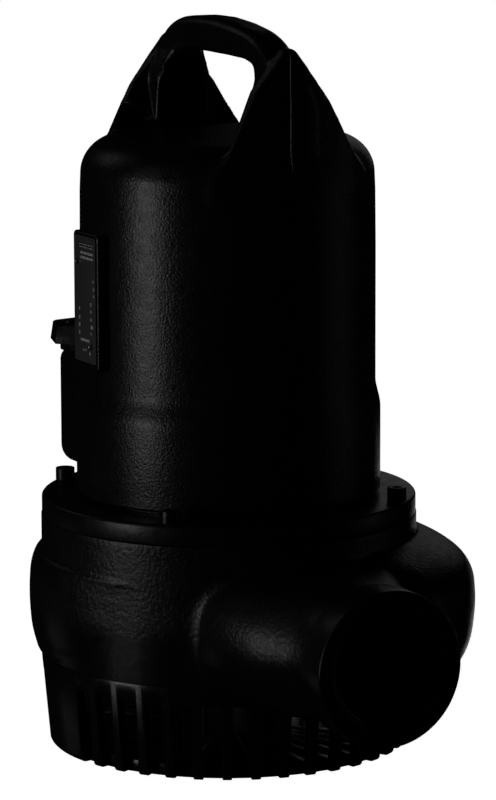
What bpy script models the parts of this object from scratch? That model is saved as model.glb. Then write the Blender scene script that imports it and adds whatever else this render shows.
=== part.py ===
"""Submersible dirty water pump with a cast handle, a slotted strainer and a threaded discharge.

The origin is on the motor axis at the underside of the strainer, +Z is up, and +X is the
direction of the discharge. Lengths are in metres and angles in degrees.
"""

import math

import bmesh
import bpy

MM = 0.001
GAP = 0.3 * MM
MERGE = 0.05 * MM
CUT = 1 * MM
ROUND = 64
PORT_ROUND = 48
SMALL_ROUND = 24
SCREW_ROUND = 16
SMOOTH_ANGLE = 38
FLAT_ANGLE = 0.5

# Heights of the joints between the castings
STRAINER_TOP = 63 * MM
FLANGE_BOTTOM = 157.5 * MM
FLANGE_TOP = 171 * MM
HANDLE_TOP = 491.6 * MM

# Motor housing
HOUSING_RADIUS = 98.7 * MM
HOUSING_WALL_RADIUS = 99.5 * MM
HOUSING_WALL_TOP = 370 * MM
HOUSING_MID_RADIUS = 99.6 * MM
HOUSING_FOOT_RADIUS = 103 * MM
HOUSING_STEP_TOP = 245 * MM
HOUSING_STEP_BOTTOM = 231 * MM
HOUSING_LIP = 2.3 * MM
HOUSING_LIP_ROUNDING = 2 * MM
HOUSING_SEAT_RADIUS = 96 * MM
SHOULDER_RADIUS = 25 * MM
SHOULDER_CENTRE = 388 * MM
CROWN_RISE = 4.5 * MM
CROWN_FLAT_RADIUS = 41 * MM
CROWN_FLAT_RISE = 3.1 * MM

# Lifting handle
BAR_WIDTH = 24 * MM
BAR_ROUNDING = 7 * MM
BAR_ROUNDED_CORNERS = 55
HANDLE_REACH = 94.5 * MM
HANDLE_FOOT = 392 * MM
WINDOW_TOP = 467.7 * MM
WINDOW_REACH = 62 * MM
LEG_FOOT_REACH = 70 * MM
GUSSET_FOOT_HALF = 61 * MM

# Rating plate and its cast pad, on the -Y side
PAD_CENTRE_X = 1 * MM
PAD_HALF_WIDTH = 19.8 * MM
PAD_FACE = 105.5 * MM
PAD_ROOT = 86.8 * MM
PAD_BOTTOM = 262 * MM
PAD_TOP = 353.5 * MM
PAD_EDGE = 2 * MM
PLATE_WIDTH = 34 * MM
PLATE_HEIGHT = 84 * MM
PLATE_THICKNESS = 0.6 * MM
PLATE_CENTRE_X = 1.8 * MM
PLATE_CENTRE_Z = 309 * MM
RIVET_RADIUS = 2.2 * MM
RIVET_HEIGHT = 1.1 * MM
RIVET_MIDDLE_X = 1 * MM
RIVET_MIDDLE_Z = 306 * MM
RIVET_X = 10.3 * MM
RIVET_Z = 27.5 * MM

# Cable entry box, on the -X side
BOX_REACH = 136 * MM
BOX_HALF_WIDTH = 66.5 * MM
BOX_BOTTOM = 173.6 * MM
BOX_TOP = 256 * MM
BOX_TOP_ROUNDING = 8.5 * MM
BOX_FOOT_ROUNDING = 14 * MM
BOX_ROOT = 60 * MM
COVER_THICKNESS = 5 * MM
COVER_MARGIN = 7 * MM
COVER_EDGE = 1.5 * MM
COVER_SCREW_INSET = 9 * MM
COVER_SCREW_RADIUS = 4.2 * MM
COVER_SCREW_HEIGHT = 3 * MM
COVER_SCREW_EDGE = 0.8 * MM
COVER_SCREW_CORNERS = ((-1, 1), (1, 1), (1, -1), (-1, -1))
GLAND_X = -114 * MM
GLAND_Y = 54 * MM
GLAND_TOP_CORNER = 24.8 * MM
GLAND_FOOT_CORNER = 27 * MM
GLAND_TURN = 43.5
GLAND_NUT_BOTTOM = 262 * MM
GLAND_NUT_TOP = 275 * MM
GLAND_NECK_RADIUS = 18 * MM
GLAND_BORE_RADIUS = 12.5 * MM
SEAL_BORE_RADIUS = 7 * MM
SEAL_DEPTH = 12 * MM
SEAL_SINK = 2 * MM

# Oil chamber cover, the wide flange under the motor
FLANGE_RADIUS = 127 * MM
FLANGE_ROUNDING = 2.5 * MM
SPIGOT_RADIUS = 111.2 * MM
SPIGOT_DEPTH = 12 * MM
BOLT_CIRCLE = 119 * MM
BOLT_ANGLES = (-45, 45, 135, -135)
CAP_RADIUS = 6.5 * MM
CAP_HEIGHT = 8.5 * MM
CAP_EDGE = 0.7 * MM
CAP_SOCKET = 3.6 * MM
CAP_SOCKET_DEPTH = 4 * MM
BOLT_RADIUS = 4 * MM
BOLT_DEPTH = 28 * MM

# Volute casing: sections are (radius, height) points on the outside, from the top down
CASING_RADIUS = 127.5 * MM
CHAMBER_RADIUS = 112 * MM
VOLUTE_START = -64
VOLUTE_END = -352
VOLUTE_STATIONS = 32
VOLUTE_ROOT = 118 * MM
SLIM_ANGLE = -116.5
SLIM_REACH = 136.3 * MM
SLIM_SECTION = (
    (127 * MM, 134 * MM),
    (131 * MM, 131.8 * MM),
    (133.2 * MM, 127.5 * MM),
    (135 * MM, 121 * MM),
    (136 * MM, 111 * MM),
    (SLIM_REACH, 100 * MM),
    (135.9 * MM, 89 * MM),
    (134.6 * MM, 77 * MM),
    (132.6 * MM, 69 * MM),
    (130.4 * MM, 63 * MM),
    (127 * MM, 60 * MM),
)
WIDE_ANGLE = -296.5
WIDE_REACH = 167.4 * MM
WIDE_SECTION = (
    (127 * MM, 146.6 * MM),
    (141 * MM, 141 * MM),
    (152 * MM, 134.6 * MM),
    (160.5 * MM, 127 * MM),
    (165.8 * MM, 117.5 * MM),
    (WIDE_REACH, 106 * MM),
    (WIDE_REACH, 88 * MM),
    (166 * MM, 71 * MM),
    (161 * MM, 58.5 * MM),
    (151 * MM, 48 * MM),
    (127 * MM, 41 * MM),
)
PASSAGE_WALL = 9 * MM
PASSAGE_ROOT = 104 * MM
PASSAGE_BOTTOM = 74 * MM
PASSAGE_TOP = 131 * MM
PASSAGE_CORNER = 20 * MM

# Discharge
PORT_MID = 95 * MM
PORT_FACE = 231 * MM
PORT_RADIUS = 51 * MM
PORT_HUB = 26 * MM
PORT_ROUNDING = 1.6 * MM
HUB_BACK_CHAMFER = 4 * MM
HUB_BACK_CHAMFER_LENGTH = 3 * MM
THREAD_RADIUS = 37.8 * MM
THREAD_DEPTH = 28 * MM
THREAD_CHAMFER = 2.2 * MM
THREAD_RUNOUT = 2 * MM
BORE_RADIUS = 32.5 * MM
BORE_END = 150 * MM
INNER_BORE_MID = 104 * MM
INNER_BORE_RADIUS = 29.5 * MM
INNER_BORE_START = 98 * MM
INNER_BORE_END = 158 * MM

# Sections of the discharge neck: distance along X, half width, half height, mid height and
# the power of the section's curve, which is 2 for an ellipse and squarer above that
NECK_STATIONS = (
    (60 * MM, 78 * MM, 46 * MM, 97 * MM, 3.2),
    (110 * MM, 74 * MM, 47 * MM, 96.5 * MM, 3.0),
    (135 * MM, 70 * MM, 47.5 * MM, 95.5 * MM, 2.7),
    (155 * MM, 64 * MM, 47.5 * MM, PORT_MID, 2.4),
    (175 * MM, 55 * MM, 47 * MM, PORT_MID, 2.15),
    (190 * MM, 49 * MM, 46.5 * MM, PORT_MID, 2.0),
    (206 * MM, 46 * MM, 46 * MM, PORT_MID, 2.0),
)
NECK_POINTS = 32

# Strainer
STRAINER_RADIUS = 128.5 * MM
STRAINER_BASE_RADIUS = 123.3 * MM
STRAINER_EDGE = 3.5 * MM
STRAINER_WALL = 7 * MM
STRAINER_FLOOR = 8 * MM
SLOT_PITCH = 9
SLOT_WIDTH = 13 * MM
SLOT_TOP = 51 * MM
SLOT_START = 115.6 * MM
SLOT_END = 133.5 * MM
PANEL_MIDDLE = -94.5
PANEL_SLOTS = 3
POST_CIRCLE = 102 * MM
POST_RADIUS = 9 * MM
POST_SINK = 2 * MM
STRAINER_SCREW_HEAD = 6.5 * MM
STRAINER_SCREW_HEAD_HEIGHT = 5 * MM
STRAINER_SCREW_SINK = 1 * MM
STRAINER_SCREW_TIP = 68 * MM
STRAINER_SCREW_SOCKET_DEPTH = 3 * MM

# Hydraulic parts inside the casing
EYE_RADIUS = 38 * MM
COVER_TOP = 73 * MM
IMPELLER_RADIUS = 94 * MM
DISC_BOTTOM = 118 * MM
DISC_TOP = 127 * MM
HUB_RADIUS = 24 * MM
HUB_TOP = 138 * MM
VANES = 5
VANE_BOTTOM = 76 * MM
VANE_SINK = 2 * MM
VANE_INNER_RADIUS = 20 * MM
VANE_OUTER_RADIUS = 93.4 * MM
VANE_THICKNESS = 6 * MM
VANE_SWEEP = 64
VANE_STEPS = 6
SHAFT_RADIUS = 12 * MM
SHAFT_BOTTOM = 106 * MM
SHAFT_TOP = 163 * MM
NUT_RADIUS = 15 * MM
NUT_DROP = 10 * MM


def clear_scene():
    """Start from an empty file."""
    for thing in list(bpy.data.objects):
        bpy.data.objects.remove(thing, do_unlink=True)
    for block in list(bpy.data.meshes):
        bpy.data.meshes.remove(block)


def make_collections():
    """One collection for the pump and one for the cutting tools."""
    pump = bpy.data.collections.new("dirty_water_pump")
    tools = bpy.data.collections.new("cutters")
    for collection in (pump, tools):
        bpy.context.scene.collection.children.link(collection)
    return pump, tools


def make_material(name, colour, roughness, metallic):
    """A Principled material with one colour."""
    material = bpy.data.materials.new(name)
    material.use_nodes = True
    shader = material.node_tree.nodes["Principled BSDF"]
    shader.inputs["Base Color"].default_value = (*colour, 1.0)
    shader.inputs["Roughness"].default_value = roughness
    shader.inputs["Metallic"].default_value = metallic
    return material


def make_materials():
    """The pump's finishes by name."""
    return {
        "rough_paint": make_material("rough_paint", (0.012, 0.012, 0.013), 0.45, 0.0),
        "smooth_paint": make_material("smooth_paint", (0.012, 0.012, 0.013), 0.32, 0.0),
        "dark_steel": make_material("dark_steel", (0.03, 0.03, 0.032), 0.35, 1.0),
        "plate_metal": make_material("plate_metal", (0.04, 0.042, 0.045), 0.35, 0.6),
        "rivet_metal": make_material("rivet_metal", (0.75, 0.75, 0.74), 0.3, 1.0),
        "rubber": make_material("rubber", (0.015, 0.015, 0.015), 0.7, 0.0),
        "bare_iron": make_material("bare_iron", (0.10, 0.095, 0.09), 0.55, 0.9),
    }


def add_object(name, bm, collection):
    """Turn a bmesh into an object in a collection."""
    mesh = bpy.data.meshes.new(name)
    bm.to_mesh(mesh)
    bm.free()
    thing = bpy.data.objects.new(name, mesh)
    collection.objects.link(thing)
    return thing


def place(thing, location, rotation=(0, 0, 0)):
    """Put an object at a point and turn it by angles in degrees."""
    thing.location = location
    thing.rotation_euler = [math.radians(angle) for angle in rotation]
    return thing


def finish(thing, material):
    """Give a piece its material and smooth its round sides."""
    thing.data.materials.clear()
    thing.data.materials.append(material)
    thing.data.shade_smooth()
    thing.data.set_sharp_from_angle(angle=math.radians(SMOOTH_ANGLE))


def apply_modifiers(thing):
    """Replace an object's mesh by its evaluated mesh."""
    depsgraph = bpy.context.evaluated_depsgraph_get()
    mesh = bpy.data.meshes.new_from_object(thing.evaluated_get(depsgraph))
    old = thing.data
    thing.modifiers.clear()
    thing.data = mesh
    bpy.data.meshes.remove(old)
    return thing


def polar(radius, angle, height):
    """A point at a radius and an angle about the motor axis."""
    turn = math.radians(angle)
    return (radius * math.cos(turn), radius * math.sin(turn), height)


def arc(across, up, radius, start, end, count):
    """Points on an arc round a centre, from one angle to another."""
    points = []
    for step in range(count + 1):
        angle = math.radians(start + (end - start) * step / count)
        points.append((across + radius * math.cos(angle), up + radius * math.sin(angle)))
    return points


def turned(name, profile, collection, steps=ROUND, closed=False):
    """Turn a profile of (radius, height) points about the Z axis.

    An open profile starts and ends on the axis and runs down the outer side. A closed
    profile is the section of a ring, in the same sense.
    """
    bm = bmesh.new()
    corners = [bm.verts.new((radius, 0.0, height)) for radius, height in profile]
    for first, second in zip(corners, corners[1:]):
        bm.edges.new((first, second))
    if closed:
        bm.edges.new((corners[-1], corners[0]))
    thing = add_object(name, bm, collection)
    screw = thing.modifiers.new("turn", "SCREW")
    screw.steps = steps
    screw.render_steps = steps
    screw.use_merge_vertices = True
    screw.merge_threshold = MERGE
    return apply_modifiers(thing)


def cylinder(name, radius, bottom, top, collection, steps=SMALL_ROUND):
    """An upright cylinder on the motor axis between two heights."""
    bm = bmesh.new()
    size = {"radius1": radius, "radius2": radius, "depth": top - bottom}
    bmesh.ops.create_cone(bm, cap_ends=True, segments=steps, **size)
    bmesh.ops.translate(bm, verts=bm.verts, vec=(0.0, 0.0, (top + bottom) / 2))
    return add_object(name, bm, collection)


def box(name, low, high, collection, bevel=0.0, segments=2):
    """A box between two corners, with rounded edges where a bevel is given."""
    size = [top - bottom for bottom, top in zip(low, high)]
    bm = bmesh.new()
    bmesh.ops.create_cube(bm, size=1.0)
    bmesh.ops.scale(bm, verts=bm.verts, vec=size)
    thing = add_object(name, bm, collection)
    place(thing, [(bottom + top) / 2 for bottom, top in zip(low, high)])
    if bevel:
        rounding = thing.modifiers.new("rounding", "BEVEL")
        rounding.width = bevel
        rounding.segments = segments
        apply_modifiers(thing)
    return thing


def slab(name, outline, thickness, collection):
    """A slab from a closed outline in its own XY plane, centred on that plane."""
    curve = bpy.data.curves.new(name, "CURVE")
    curve.dimensions = "2D"
    curve.fill_mode = "BOTH"
    curve.extrude = thickness / 2
    spline = curve.splines.new("POLY")
    spline.points.add(len(outline) - 1)
    for point, (x, y) in zip(spline.points, outline):
        point.co = (x, y, 0.0, 1.0)
    spline.use_cyclic_u = True
    shape = bpy.data.objects.new(name, curve)
    collection.objects.link(shape)
    depsgraph = bpy.context.evaluated_depsgraph_get()
    mesh = bpy.data.meshes.new_from_object(shape.evaluated_get(depsgraph))
    bpy.data.objects.remove(shape)
    bm = bmesh.new()
    bm.from_mesh(mesh)
    bpy.data.meshes.remove(mesh)
    bmesh.ops.remove_doubles(bm, verts=bm.verts, dist=MERGE)
    bmesh.ops.recalc_face_normals(bm, faces=bm.faces)
    bmesh.ops.dissolve_limit(bm, angle_limit=math.radians(FLAT_ANGLE), verts=bm.verts, edges=bm.edges)
    return add_object(name, bm, collection)


def loft(name, rings, collection):
    """A closed body through rings of points that have the same count."""
    bm = bmesh.new()
    loops = [[bm.verts.new(point) for point in ring] for ring in rings]
    count = len(loops[0])
    for first, second in zip(loops, loops[1:]):
        for index in range(count):
            following = (index + 1) % count
            bm.faces.new((first[index], first[following], second[following], second[index]))
    bm.faces.new(loops[0])
    bm.faces.new(list(reversed(loops[-1])))
    bmesh.ops.recalc_face_normals(bm, faces=bm.faces)
    return add_object(name, bm, collection)


def combine(thing, tool, operation, tools):
    """Cut, join or intersect a piece with a tool and keep the result as its mesh."""
    if tool.name not in tools.objects:
        for collection in list(tool.users_collection):
            collection.objects.unlink(tool)
        tools.objects.link(tool)
    tool.hide_render = True
    tool.display_type = "WIRE"
    step = thing.modifiers.new(operation.lower(), "BOOLEAN")
    step.operation = operation
    step.solver = "EXACT"
    step.object = tool
    return apply_modifiers(thing)


def mirrored(points):
    """The same points on the other side of the middle, in the opposite order."""
    return [(-x, z) for x, z in reversed(points) if x > 0.0]


def step_profile(grow):
    """The soft step low on the housing, as (radius, height) points from the top down."""
    points = []
    for share in (0.0, 0.25, 0.5, 0.75, 1.0):
        eased = share * share * (3 - 2 * share)
        radius = HOUSING_MID_RADIUS + (HOUSING_FOOT_RADIUS - HOUSING_MID_RADIUS) * eased
        height = HOUSING_STEP_TOP + (HOUSING_STEP_BOTTOM - HOUSING_STEP_TOP) * share
        points.append((radius + grow, height))
    return points


def housing_profile(grow=0.0):
    """Section of the motor housing from the crown down to its seat, grown by a clearance."""
    reach = HOUSING_RADIUS - SHOULDER_RADIUS
    crown = SHOULDER_CENTRE + SHOULDER_RADIUS + grow
    lip = FLANGE_TOP + HOUSING_LIP
    rounding = HOUSING_LIP_ROUNDING
    profile = [(0.0, crown + CROWN_RISE), (CROWN_FLAT_RADIUS, crown + CROWN_FLAT_RISE)]
    profile += arc(reach, SHOULDER_CENTRE, SHOULDER_RADIUS + grow, 90, 0, 7)
    profile.append((HOUSING_WALL_RADIUS + grow, HOUSING_WALL_TOP))
    profile += step_profile(grow)
    profile += arc(HOUSING_FOOT_RADIUS - rounding + grow, lip + rounding, rounding, 0, -90, 2)
    profile += [
        (HOUSING_SEAT_RADIUS, lip),
        (HOUSING_SEAT_RADIUS, FLANGE_TOP + GAP),
        (0.0, FLANGE_TOP + GAP),
    ]
    return profile


def make_housing(pump, tools):
    """The bell of the motor with the cast pad for the rating plate."""
    housing = turned("motor_housing", housing_profile(), pump)
    low = (PAD_CENTRE_X - PAD_HALF_WIDTH, -PAD_FACE, PAD_BOTTOM)
    high = (PAD_CENTRE_X + PAD_HALF_WIDTH, -PAD_ROOT, PAD_TOP)
    return combine(housing, box("plate_pad", low, high, tools, bevel=PAD_EDGE), "UNION", tools)


def arch_outer():
    """Outer outline of the arch from its middle to its foot, as (x, z) points."""
    return [
        (0.0, HANDLE_TOP),
        (37 * MM, 489.6 * MM),
        (56 * MM, 486 * MM),
        (66 * MM, 482.2 * MM),
        (74 * MM, 477.6 * MM),
        (82 * MM, 471 * MM),
        (88.5 * MM, 463.5 * MM),
        (92.4 * MM, 455 * MM),
        (HANDLE_REACH, 443 * MM),
        (HANDLE_REACH, HANDLE_FOOT),
    ]


def arch_inner():
    """Inner outline of the arch from its foot to the middle of the window's top."""
    return [
        (LEG_FOOT_REACH, HANDLE_FOOT),
        (LEG_FOOT_REACH - 2 * MM, 430 * MM),
        (WINDOW_REACH + 2.5 * MM, 447 * MM),
        (WINDOW_REACH, 456 * MM),
        (WINDOW_REACH - 4.5 * MM, 462 * MM),
        (WINDOW_REACH - 14 * MM, 465.3 * MM),
        (24 * MM, 467.2 * MM),
        (0.0, WINDOW_TOP),
    ]


def leg_front():
    """Outline of a leg seen along the handle, as (y, z) points: it widens to its foot."""
    half = [
        (11 * MM, 466 * MM),
        (13 * MM, 457 * MM),
        (14.8 * MM, 452 * MM),
        (17.6 * MM, 446 * MM),
        (19.5 * MM, 441 * MM),
        (20 * MM, HANDLE_FOOT),
    ]
    return half + mirrored(half)


def leg_side():
    """Outline of a widened leg seen across the handle, as (x, z) points just inside the arch."""
    return [
        (70.4 * MM, HANDLE_FOOT),
        (68.4 * MM, 430 * MM),
        (65 * MM, 447 * MM),
        (62.5 * MM, 456 * MM),
        (63 * MM, 466 * MM),
        (84 * MM, 466 * MM),
        (91.6 * MM, 453 * MM),
        (94 * MM, 443 * MM),
        (94 * MM, HANDLE_FOOT),
    ]


def gusset_front(side):
    """Outline of a gusset seen along the handle, as (y, z) points.

    The wing of the gusset over the discharge is narrower on the side with the rating plate.
    """
    wide = [(2 * MM, 476 * MM), (30.6 * MM, 441.2 * MM), (GUSSET_FOOT_HALF, HANDLE_FOOT)]
    narrow = [
        (2 * MM, 476 * MM),
        (24 * MM, 449 * MM),
        (32.4 * MM, 430.3 * MM),
        (41.5 * MM, 408.4 * MM),
        (50.5 * MM, HANDLE_FOOT),
    ]
    return wide + mirrored(narrow if side > 0 else wide)


def gusset_plan():
    """Outline of a gusset seen from above: two wings that sweep back and thin out from a ridge."""
    half = [
        (94.1 * MM, 0.0),
        (92.8 * MM, 12 * MM),
        (90 * MM, 26 * MM),
        (87.2 * MM, 38 * MM),
        (82.5 * MM, 50 * MM),
        (76 * MM, 62 * MM),
        (72.7 * MM, 62 * MM),
        (79.5 * MM, 50 * MM),
        (82.6 * MM, 38 * MM),
        (81.7 * MM, 24 * MM),
    ]
    return half + [(x, -y) for x, y in reversed(half[1:])]


def gusset_side():
    """Outline that limits a gusset seen across the handle, as (x, z) points."""
    return [
        (LEG_FOOT_REACH, HANDLE_FOOT),
        (LEG_FOOT_REACH, 477 * MM),
        (84 * MM, 476.5 * MM),
        (91.5 * MM, 475.5 * MM),
        (HANDLE_REACH, 471 * MM),
        (HANDLE_REACH, HANDLE_FOOT),
    ]


def make_leg(side, tools):
    """The widened leg at one end of the handle, as a tool that is joined to the arch."""
    leg = slab("leg", [(side * x, z) for x, z in leg_side()], 2 * GUSSET_FOOT_HALF, tools)
    place(leg, (0, 0, 0), (90, 0, 0))
    front = slab("leg_front", leg_front(), HANDLE_REACH, tools)
    return combine(leg, place(front, (side * HANDLE_REACH, 0, 0), (90, 0, 90)), "INTERSECT", tools)


def make_gusset(side, tools):
    """The gusset at one end of the handle, as a tool that is joined to the arch."""
    plan = [(side * x, side * y) for x, y in gusset_plan()]
    height = HANDLE_TOP - HANDLE_FOOT
    gusset = slab("gusset", plan, height, tools)
    place(gusset, (0, 0, HANDLE_FOOT + height / 2))
    front = slab("gusset_front", gusset_front(side), HANDLE_REACH, tools)
    combine(gusset, place(front, (side * HANDLE_REACH, 0, 0), (90, 0, 90)), "INTERSECT", tools)
    outline = [(side * x, z) for x, z in gusset_side()]
    limit = slab("gusset_limit", outline, 3 * GUSSET_FOOT_HALF, tools)
    return combine(gusset, place(limit, (0, 0, 0), (90, 0, 0)), "INTERSECT", tools)


def make_handle(pump, tools):
    """The arch with a gusset at each end, seated on the housing's shoulder."""
    half = arch_outer() + arch_inner()
    handle = slab("lifting_handle", half + mirrored(half), BAR_WIDTH, pump)
    rounding = handle.modifiers.new("rounding", "BEVEL")
    rounding.width = BAR_ROUNDING
    rounding.segments = 3
    rounding.limit_method = "ANGLE"
    rounding.angle_limit = math.radians(BAR_ROUNDED_CORNERS)
    apply_modifiers(handle)
    place(handle, (0, 0, 0), (90, 0, 0))
    for side in (1, -1):
        combine(handle, make_leg(side, tools), "UNION", tools)
        combine(handle, make_gusset(side, tools), "UNION", tools)
    bell = turned("handle_clearance", housing_profile(GAP), tools)
    return combine(handle, bell, "DIFFERENCE", tools)


def make_rating_plate(pump):
    """The thin plate on its pad."""
    back = -PAD_FACE - GAP
    low = (PLATE_CENTRE_X - PLATE_WIDTH / 2, back - PLATE_THICKNESS, PLATE_CENTRE_Z - PLATE_HEIGHT / 2)
    high = (PLATE_CENTRE_X + PLATE_WIDTH / 2, back, PLATE_CENTRE_Z + PLATE_HEIGHT / 2)
    return box("rating_plate", low, high, pump)


def make_rivet(name, side, pump):
    """One of the two rivets that hold the rating plate."""
    rim = 0.35 * RIVET_HEIGHT
    profile = [
        (0.0, RIVET_HEIGHT),
        (0.6 * RIVET_RADIUS, 0.85 * RIVET_HEIGHT),
        (RIVET_RADIUS, rim),
        (RIVET_RADIUS, 0.0),
        (0.0, 0.0),
    ]
    rivet = turned(name, profile, pump, steps=SCREW_ROUND)
    front = -PAD_FACE - PLATE_THICKNESS - 2 * GAP
    centre = (RIVET_MIDDLE_X - side * RIVET_X, front, RIVET_MIDDLE_Z + side * RIVET_Z)
    return place(rivet, centre, (90, 0, 0))


def box_front():
    """Outline of the cable entry box seen from its cover, as (y, z) points."""
    top, foot = BOX_TOP_ROUNDING, BOX_FOOT_ROUNDING
    half = arc(BOX_HALF_WIDTH - top, BOX_TOP - top, top, 90, 0, 4)
    half += arc(BOX_HALF_WIDTH - foot, BOX_BOTTOM + foot, foot, 0, -90, 5)
    return half + mirrored(half)


def make_entry_box(pump, tools):
    """The cast box that takes the cables into the motor."""
    outer = BOX_REACH - COVER_THICKNESS - GAP
    entry = slab("cable_entry_box", box_front(), outer - BOX_ROOT, pump)
    place(entry, (-(outer + BOX_ROOT) / 2, 0, 0), (90, 0, 90))
    bell = turned("box_clearance", housing_profile(GAP), tools)
    return combine(entry, bell, "DIFFERENCE", tools)


def make_entry_cover(pump):
    """The flat cover on the box's outer side."""
    half_width = BOX_HALF_WIDTH - COVER_MARGIN
    low = (-BOX_REACH, -half_width, BOX_BOTTOM + COVER_MARGIN)
    high = (-BOX_REACH + COVER_THICKNESS, half_width, BOX_TOP - COVER_MARGIN)
    return box("cable_entry_cover", low, high, pump, bevel=COVER_EDGE)


def make_cover_screw(name, side, up, pump):
    """A screw at one corner of the box's cover."""
    profile = [
        (0.0, COVER_SCREW_HEIGHT),
        (COVER_SCREW_RADIUS - COVER_SCREW_EDGE, COVER_SCREW_HEIGHT),
        (COVER_SCREW_RADIUS, COVER_SCREW_HEIGHT - COVER_SCREW_EDGE),
        (COVER_SCREW_RADIUS, 0.0),
        (0.0, 0.0),
    ]
    screw = turned(name, profile, pump, steps=SMALL_ROUND)
    inset = COVER_MARGIN + COVER_SCREW_INSET
    across = side * (BOX_HALF_WIDTH - inset)
    height = (BOX_TOP + BOX_BOTTOM) / 2 + up * ((BOX_TOP - BOX_BOTTOM) / 2 - inset)
    return place(screw, (-BOX_REACH - GAP, across, height), (0, -90, 0))


def make_gland(name, side, pump, tools):
    """A hexagonal cable gland nut on the box, which flares to its foot."""
    centre = (GLAND_X, side * GLAND_Y, 0)
    profile = [
        (0.0, GLAND_NUT_TOP),
        (GLAND_TOP_CORNER, GLAND_NUT_TOP),
        (GLAND_FOOT_CORNER, GLAND_NUT_BOTTOM),
        (0.0, GLAND_NUT_BOTTOM),
    ]
    nut = turned(name, profile, pump, steps=6)
    place(nut, centre, (0, 0, -side * GLAND_TURN))
    neck = cylinder("gland_neck", GLAND_NECK_RADIUS, BOX_TOP + GAP, GLAND_NUT_BOTTOM + CUT, tools)
    combine(nut, place(neck, centre), "UNION", tools)
    bore = cylinder("gland_bore", GLAND_BORE_RADIUS, GLAND_NUT_TOP - SEAL_DEPTH, GLAND_NUT_TOP + CUT, tools)
    return combine(nut, place(bore, centre), "DIFFERENCE", tools)


def make_gland_seal(name, side, pump):
    """The rubber ring in a gland, which grips the cable."""
    outer = GLAND_BORE_RADIUS - GAP
    top, bottom = GLAND_NUT_TOP - SEAL_SINK, GLAND_NUT_TOP - SEAL_DEPTH + GAP
    ring = [(SEAL_BORE_RADIUS, top), (outer, top), (outer, bottom), (SEAL_BORE_RADIUS, bottom)]
    seal = turned(name, ring, pump, steps=SMALL_ROUND, closed=True)
    return place(seal, (GLAND_X, side * GLAND_Y, 0))


def drill_bolt_circle(thing, profile, circle, tools):
    """Cut a turned profile from a piece at each of the four bolt angles."""
    for angle in BOLT_ANGLES:
        hole = turned("bolt_hole", profile, tools, steps=SCREW_ROUND)
        combine(thing, place(hole, polar(circle, angle, 0), (0, 0, angle)), "DIFFERENCE", tools)
    return thing


def plain_hole(bottom, top):
    """Profile of a clearance hole for a bolt."""
    radius = BOLT_RADIUS + GAP
    return [(0.0, top), (radius, top), (radius, bottom), (0.0, bottom)]


def make_flange(pump, tools):
    """The oil chamber cover, with a spigot in the casing and a bore for the shaft."""
    rim = FLANGE_RADIUS - FLANGE_ROUNDING
    low = FLANGE_BOTTOM - SPIGOT_DEPTH
    profile = [(0.0, FLANGE_TOP)]
    profile += arc(rim, FLANGE_TOP - FLANGE_ROUNDING, FLANGE_ROUNDING, 90, 0, 3)
    profile += [
        (FLANGE_RADIUS, FLANGE_BOTTOM),
        (SPIGOT_RADIUS, FLANGE_BOTTOM),
        (SPIGOT_RADIUS, low),
        (0.0, low),
    ]
    flange = turned("oil_chamber_cover", profile, pump)
    bore = cylinder("shaft_bore", SHAFT_RADIUS + GAP, low - CUT, SHAFT_TOP + GAP, tools)
    combine(flange, bore, "DIFFERENCE", tools)
    return drill_bolt_circle(flange, plain_hole(FLANGE_BOTTOM - CUT, FLANGE_TOP + CUT), BOLT_CIRCLE, tools)


def make_flange_screw(name, angle, pump, tools):
    """A socket head screw that holds the flange on the casing."""
    seat = FLANGE_TOP + GAP
    head = seat + CAP_HEIGHT
    profile = [
        (0.0, head),
        (CAP_RADIUS - CAP_EDGE, head),
        (CAP_RADIUS, head - CAP_EDGE),
        (CAP_RADIUS, seat),
        (BOLT_RADIUS, seat),
        (BOLT_RADIUS, seat - BOLT_DEPTH),
        (0.0, seat - BOLT_DEPTH),
    ]
    screw = turned(name, profile, pump, steps=SCREW_ROUND)
    socket = cylinder("socket", CAP_SOCKET, head - CAP_SOCKET_DEPTH, head + CUT, tools, steps=6)
    combine(screw, socket, "DIFFERENCE", tools)
    return place(screw, polar(BOLT_CIRCLE, angle, 0), (0, 0, angle))


def grown_to(angle):
    """How far the spiral has grown at an angle, from the slim section to the wide one."""
    return (SLIM_ANGLE - angle) / (SLIM_ANGLE - WIDE_ANGLE)


def volute_section(angle):
    """The closed section of the spiral's outside at an angle."""
    grown = grown_to(angle)
    points = []
    for slim, wide in zip(SLIM_SECTION, WIDE_SECTION):
        radius = slim[0] + (wide[0] - slim[0]) * grown
        height = slim[1] + (wide[1] - slim[1]) * min(grown, 1.0)
        points.append((radius, height))
    return [(VOLUTE_ROOT, points[0][1])] + points + [(VOLUTE_ROOT, points[-1][1])]


def passage_section(angle):
    """The closed section of the water passage inside the spiral at an angle."""
    reach = SLIM_REACH + (WIDE_REACH - SLIM_REACH) * grown_to(angle) - PASSAGE_WALL
    corner = min(PASSAGE_CORNER, reach - PASSAGE_ROOT - CUT)
    top = arc(reach - corner, PASSAGE_TOP - corner, corner, 90, 0, 3)
    bottom = arc(reach - corner, PASSAGE_BOTTOM + corner, corner, 0, -90, 3)
    return [(PASSAGE_ROOT, PASSAGE_TOP)] + top + bottom + [(PASSAGE_ROOT, PASSAGE_BOTTOM)]


def spiral(name, section_at, collection):
    """A body swept round the casing through the section that a function gives for an angle."""
    rings = []
    for station in range(VOLUTE_STATIONS + 1):
        angle = VOLUTE_START + (VOLUTE_END - VOLUTE_START) * station / VOLUTE_STATIONS
        rings.append([polar(radius, angle, height) for radius, height in section_at(angle)])
    return loft(name, rings, collection)


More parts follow.
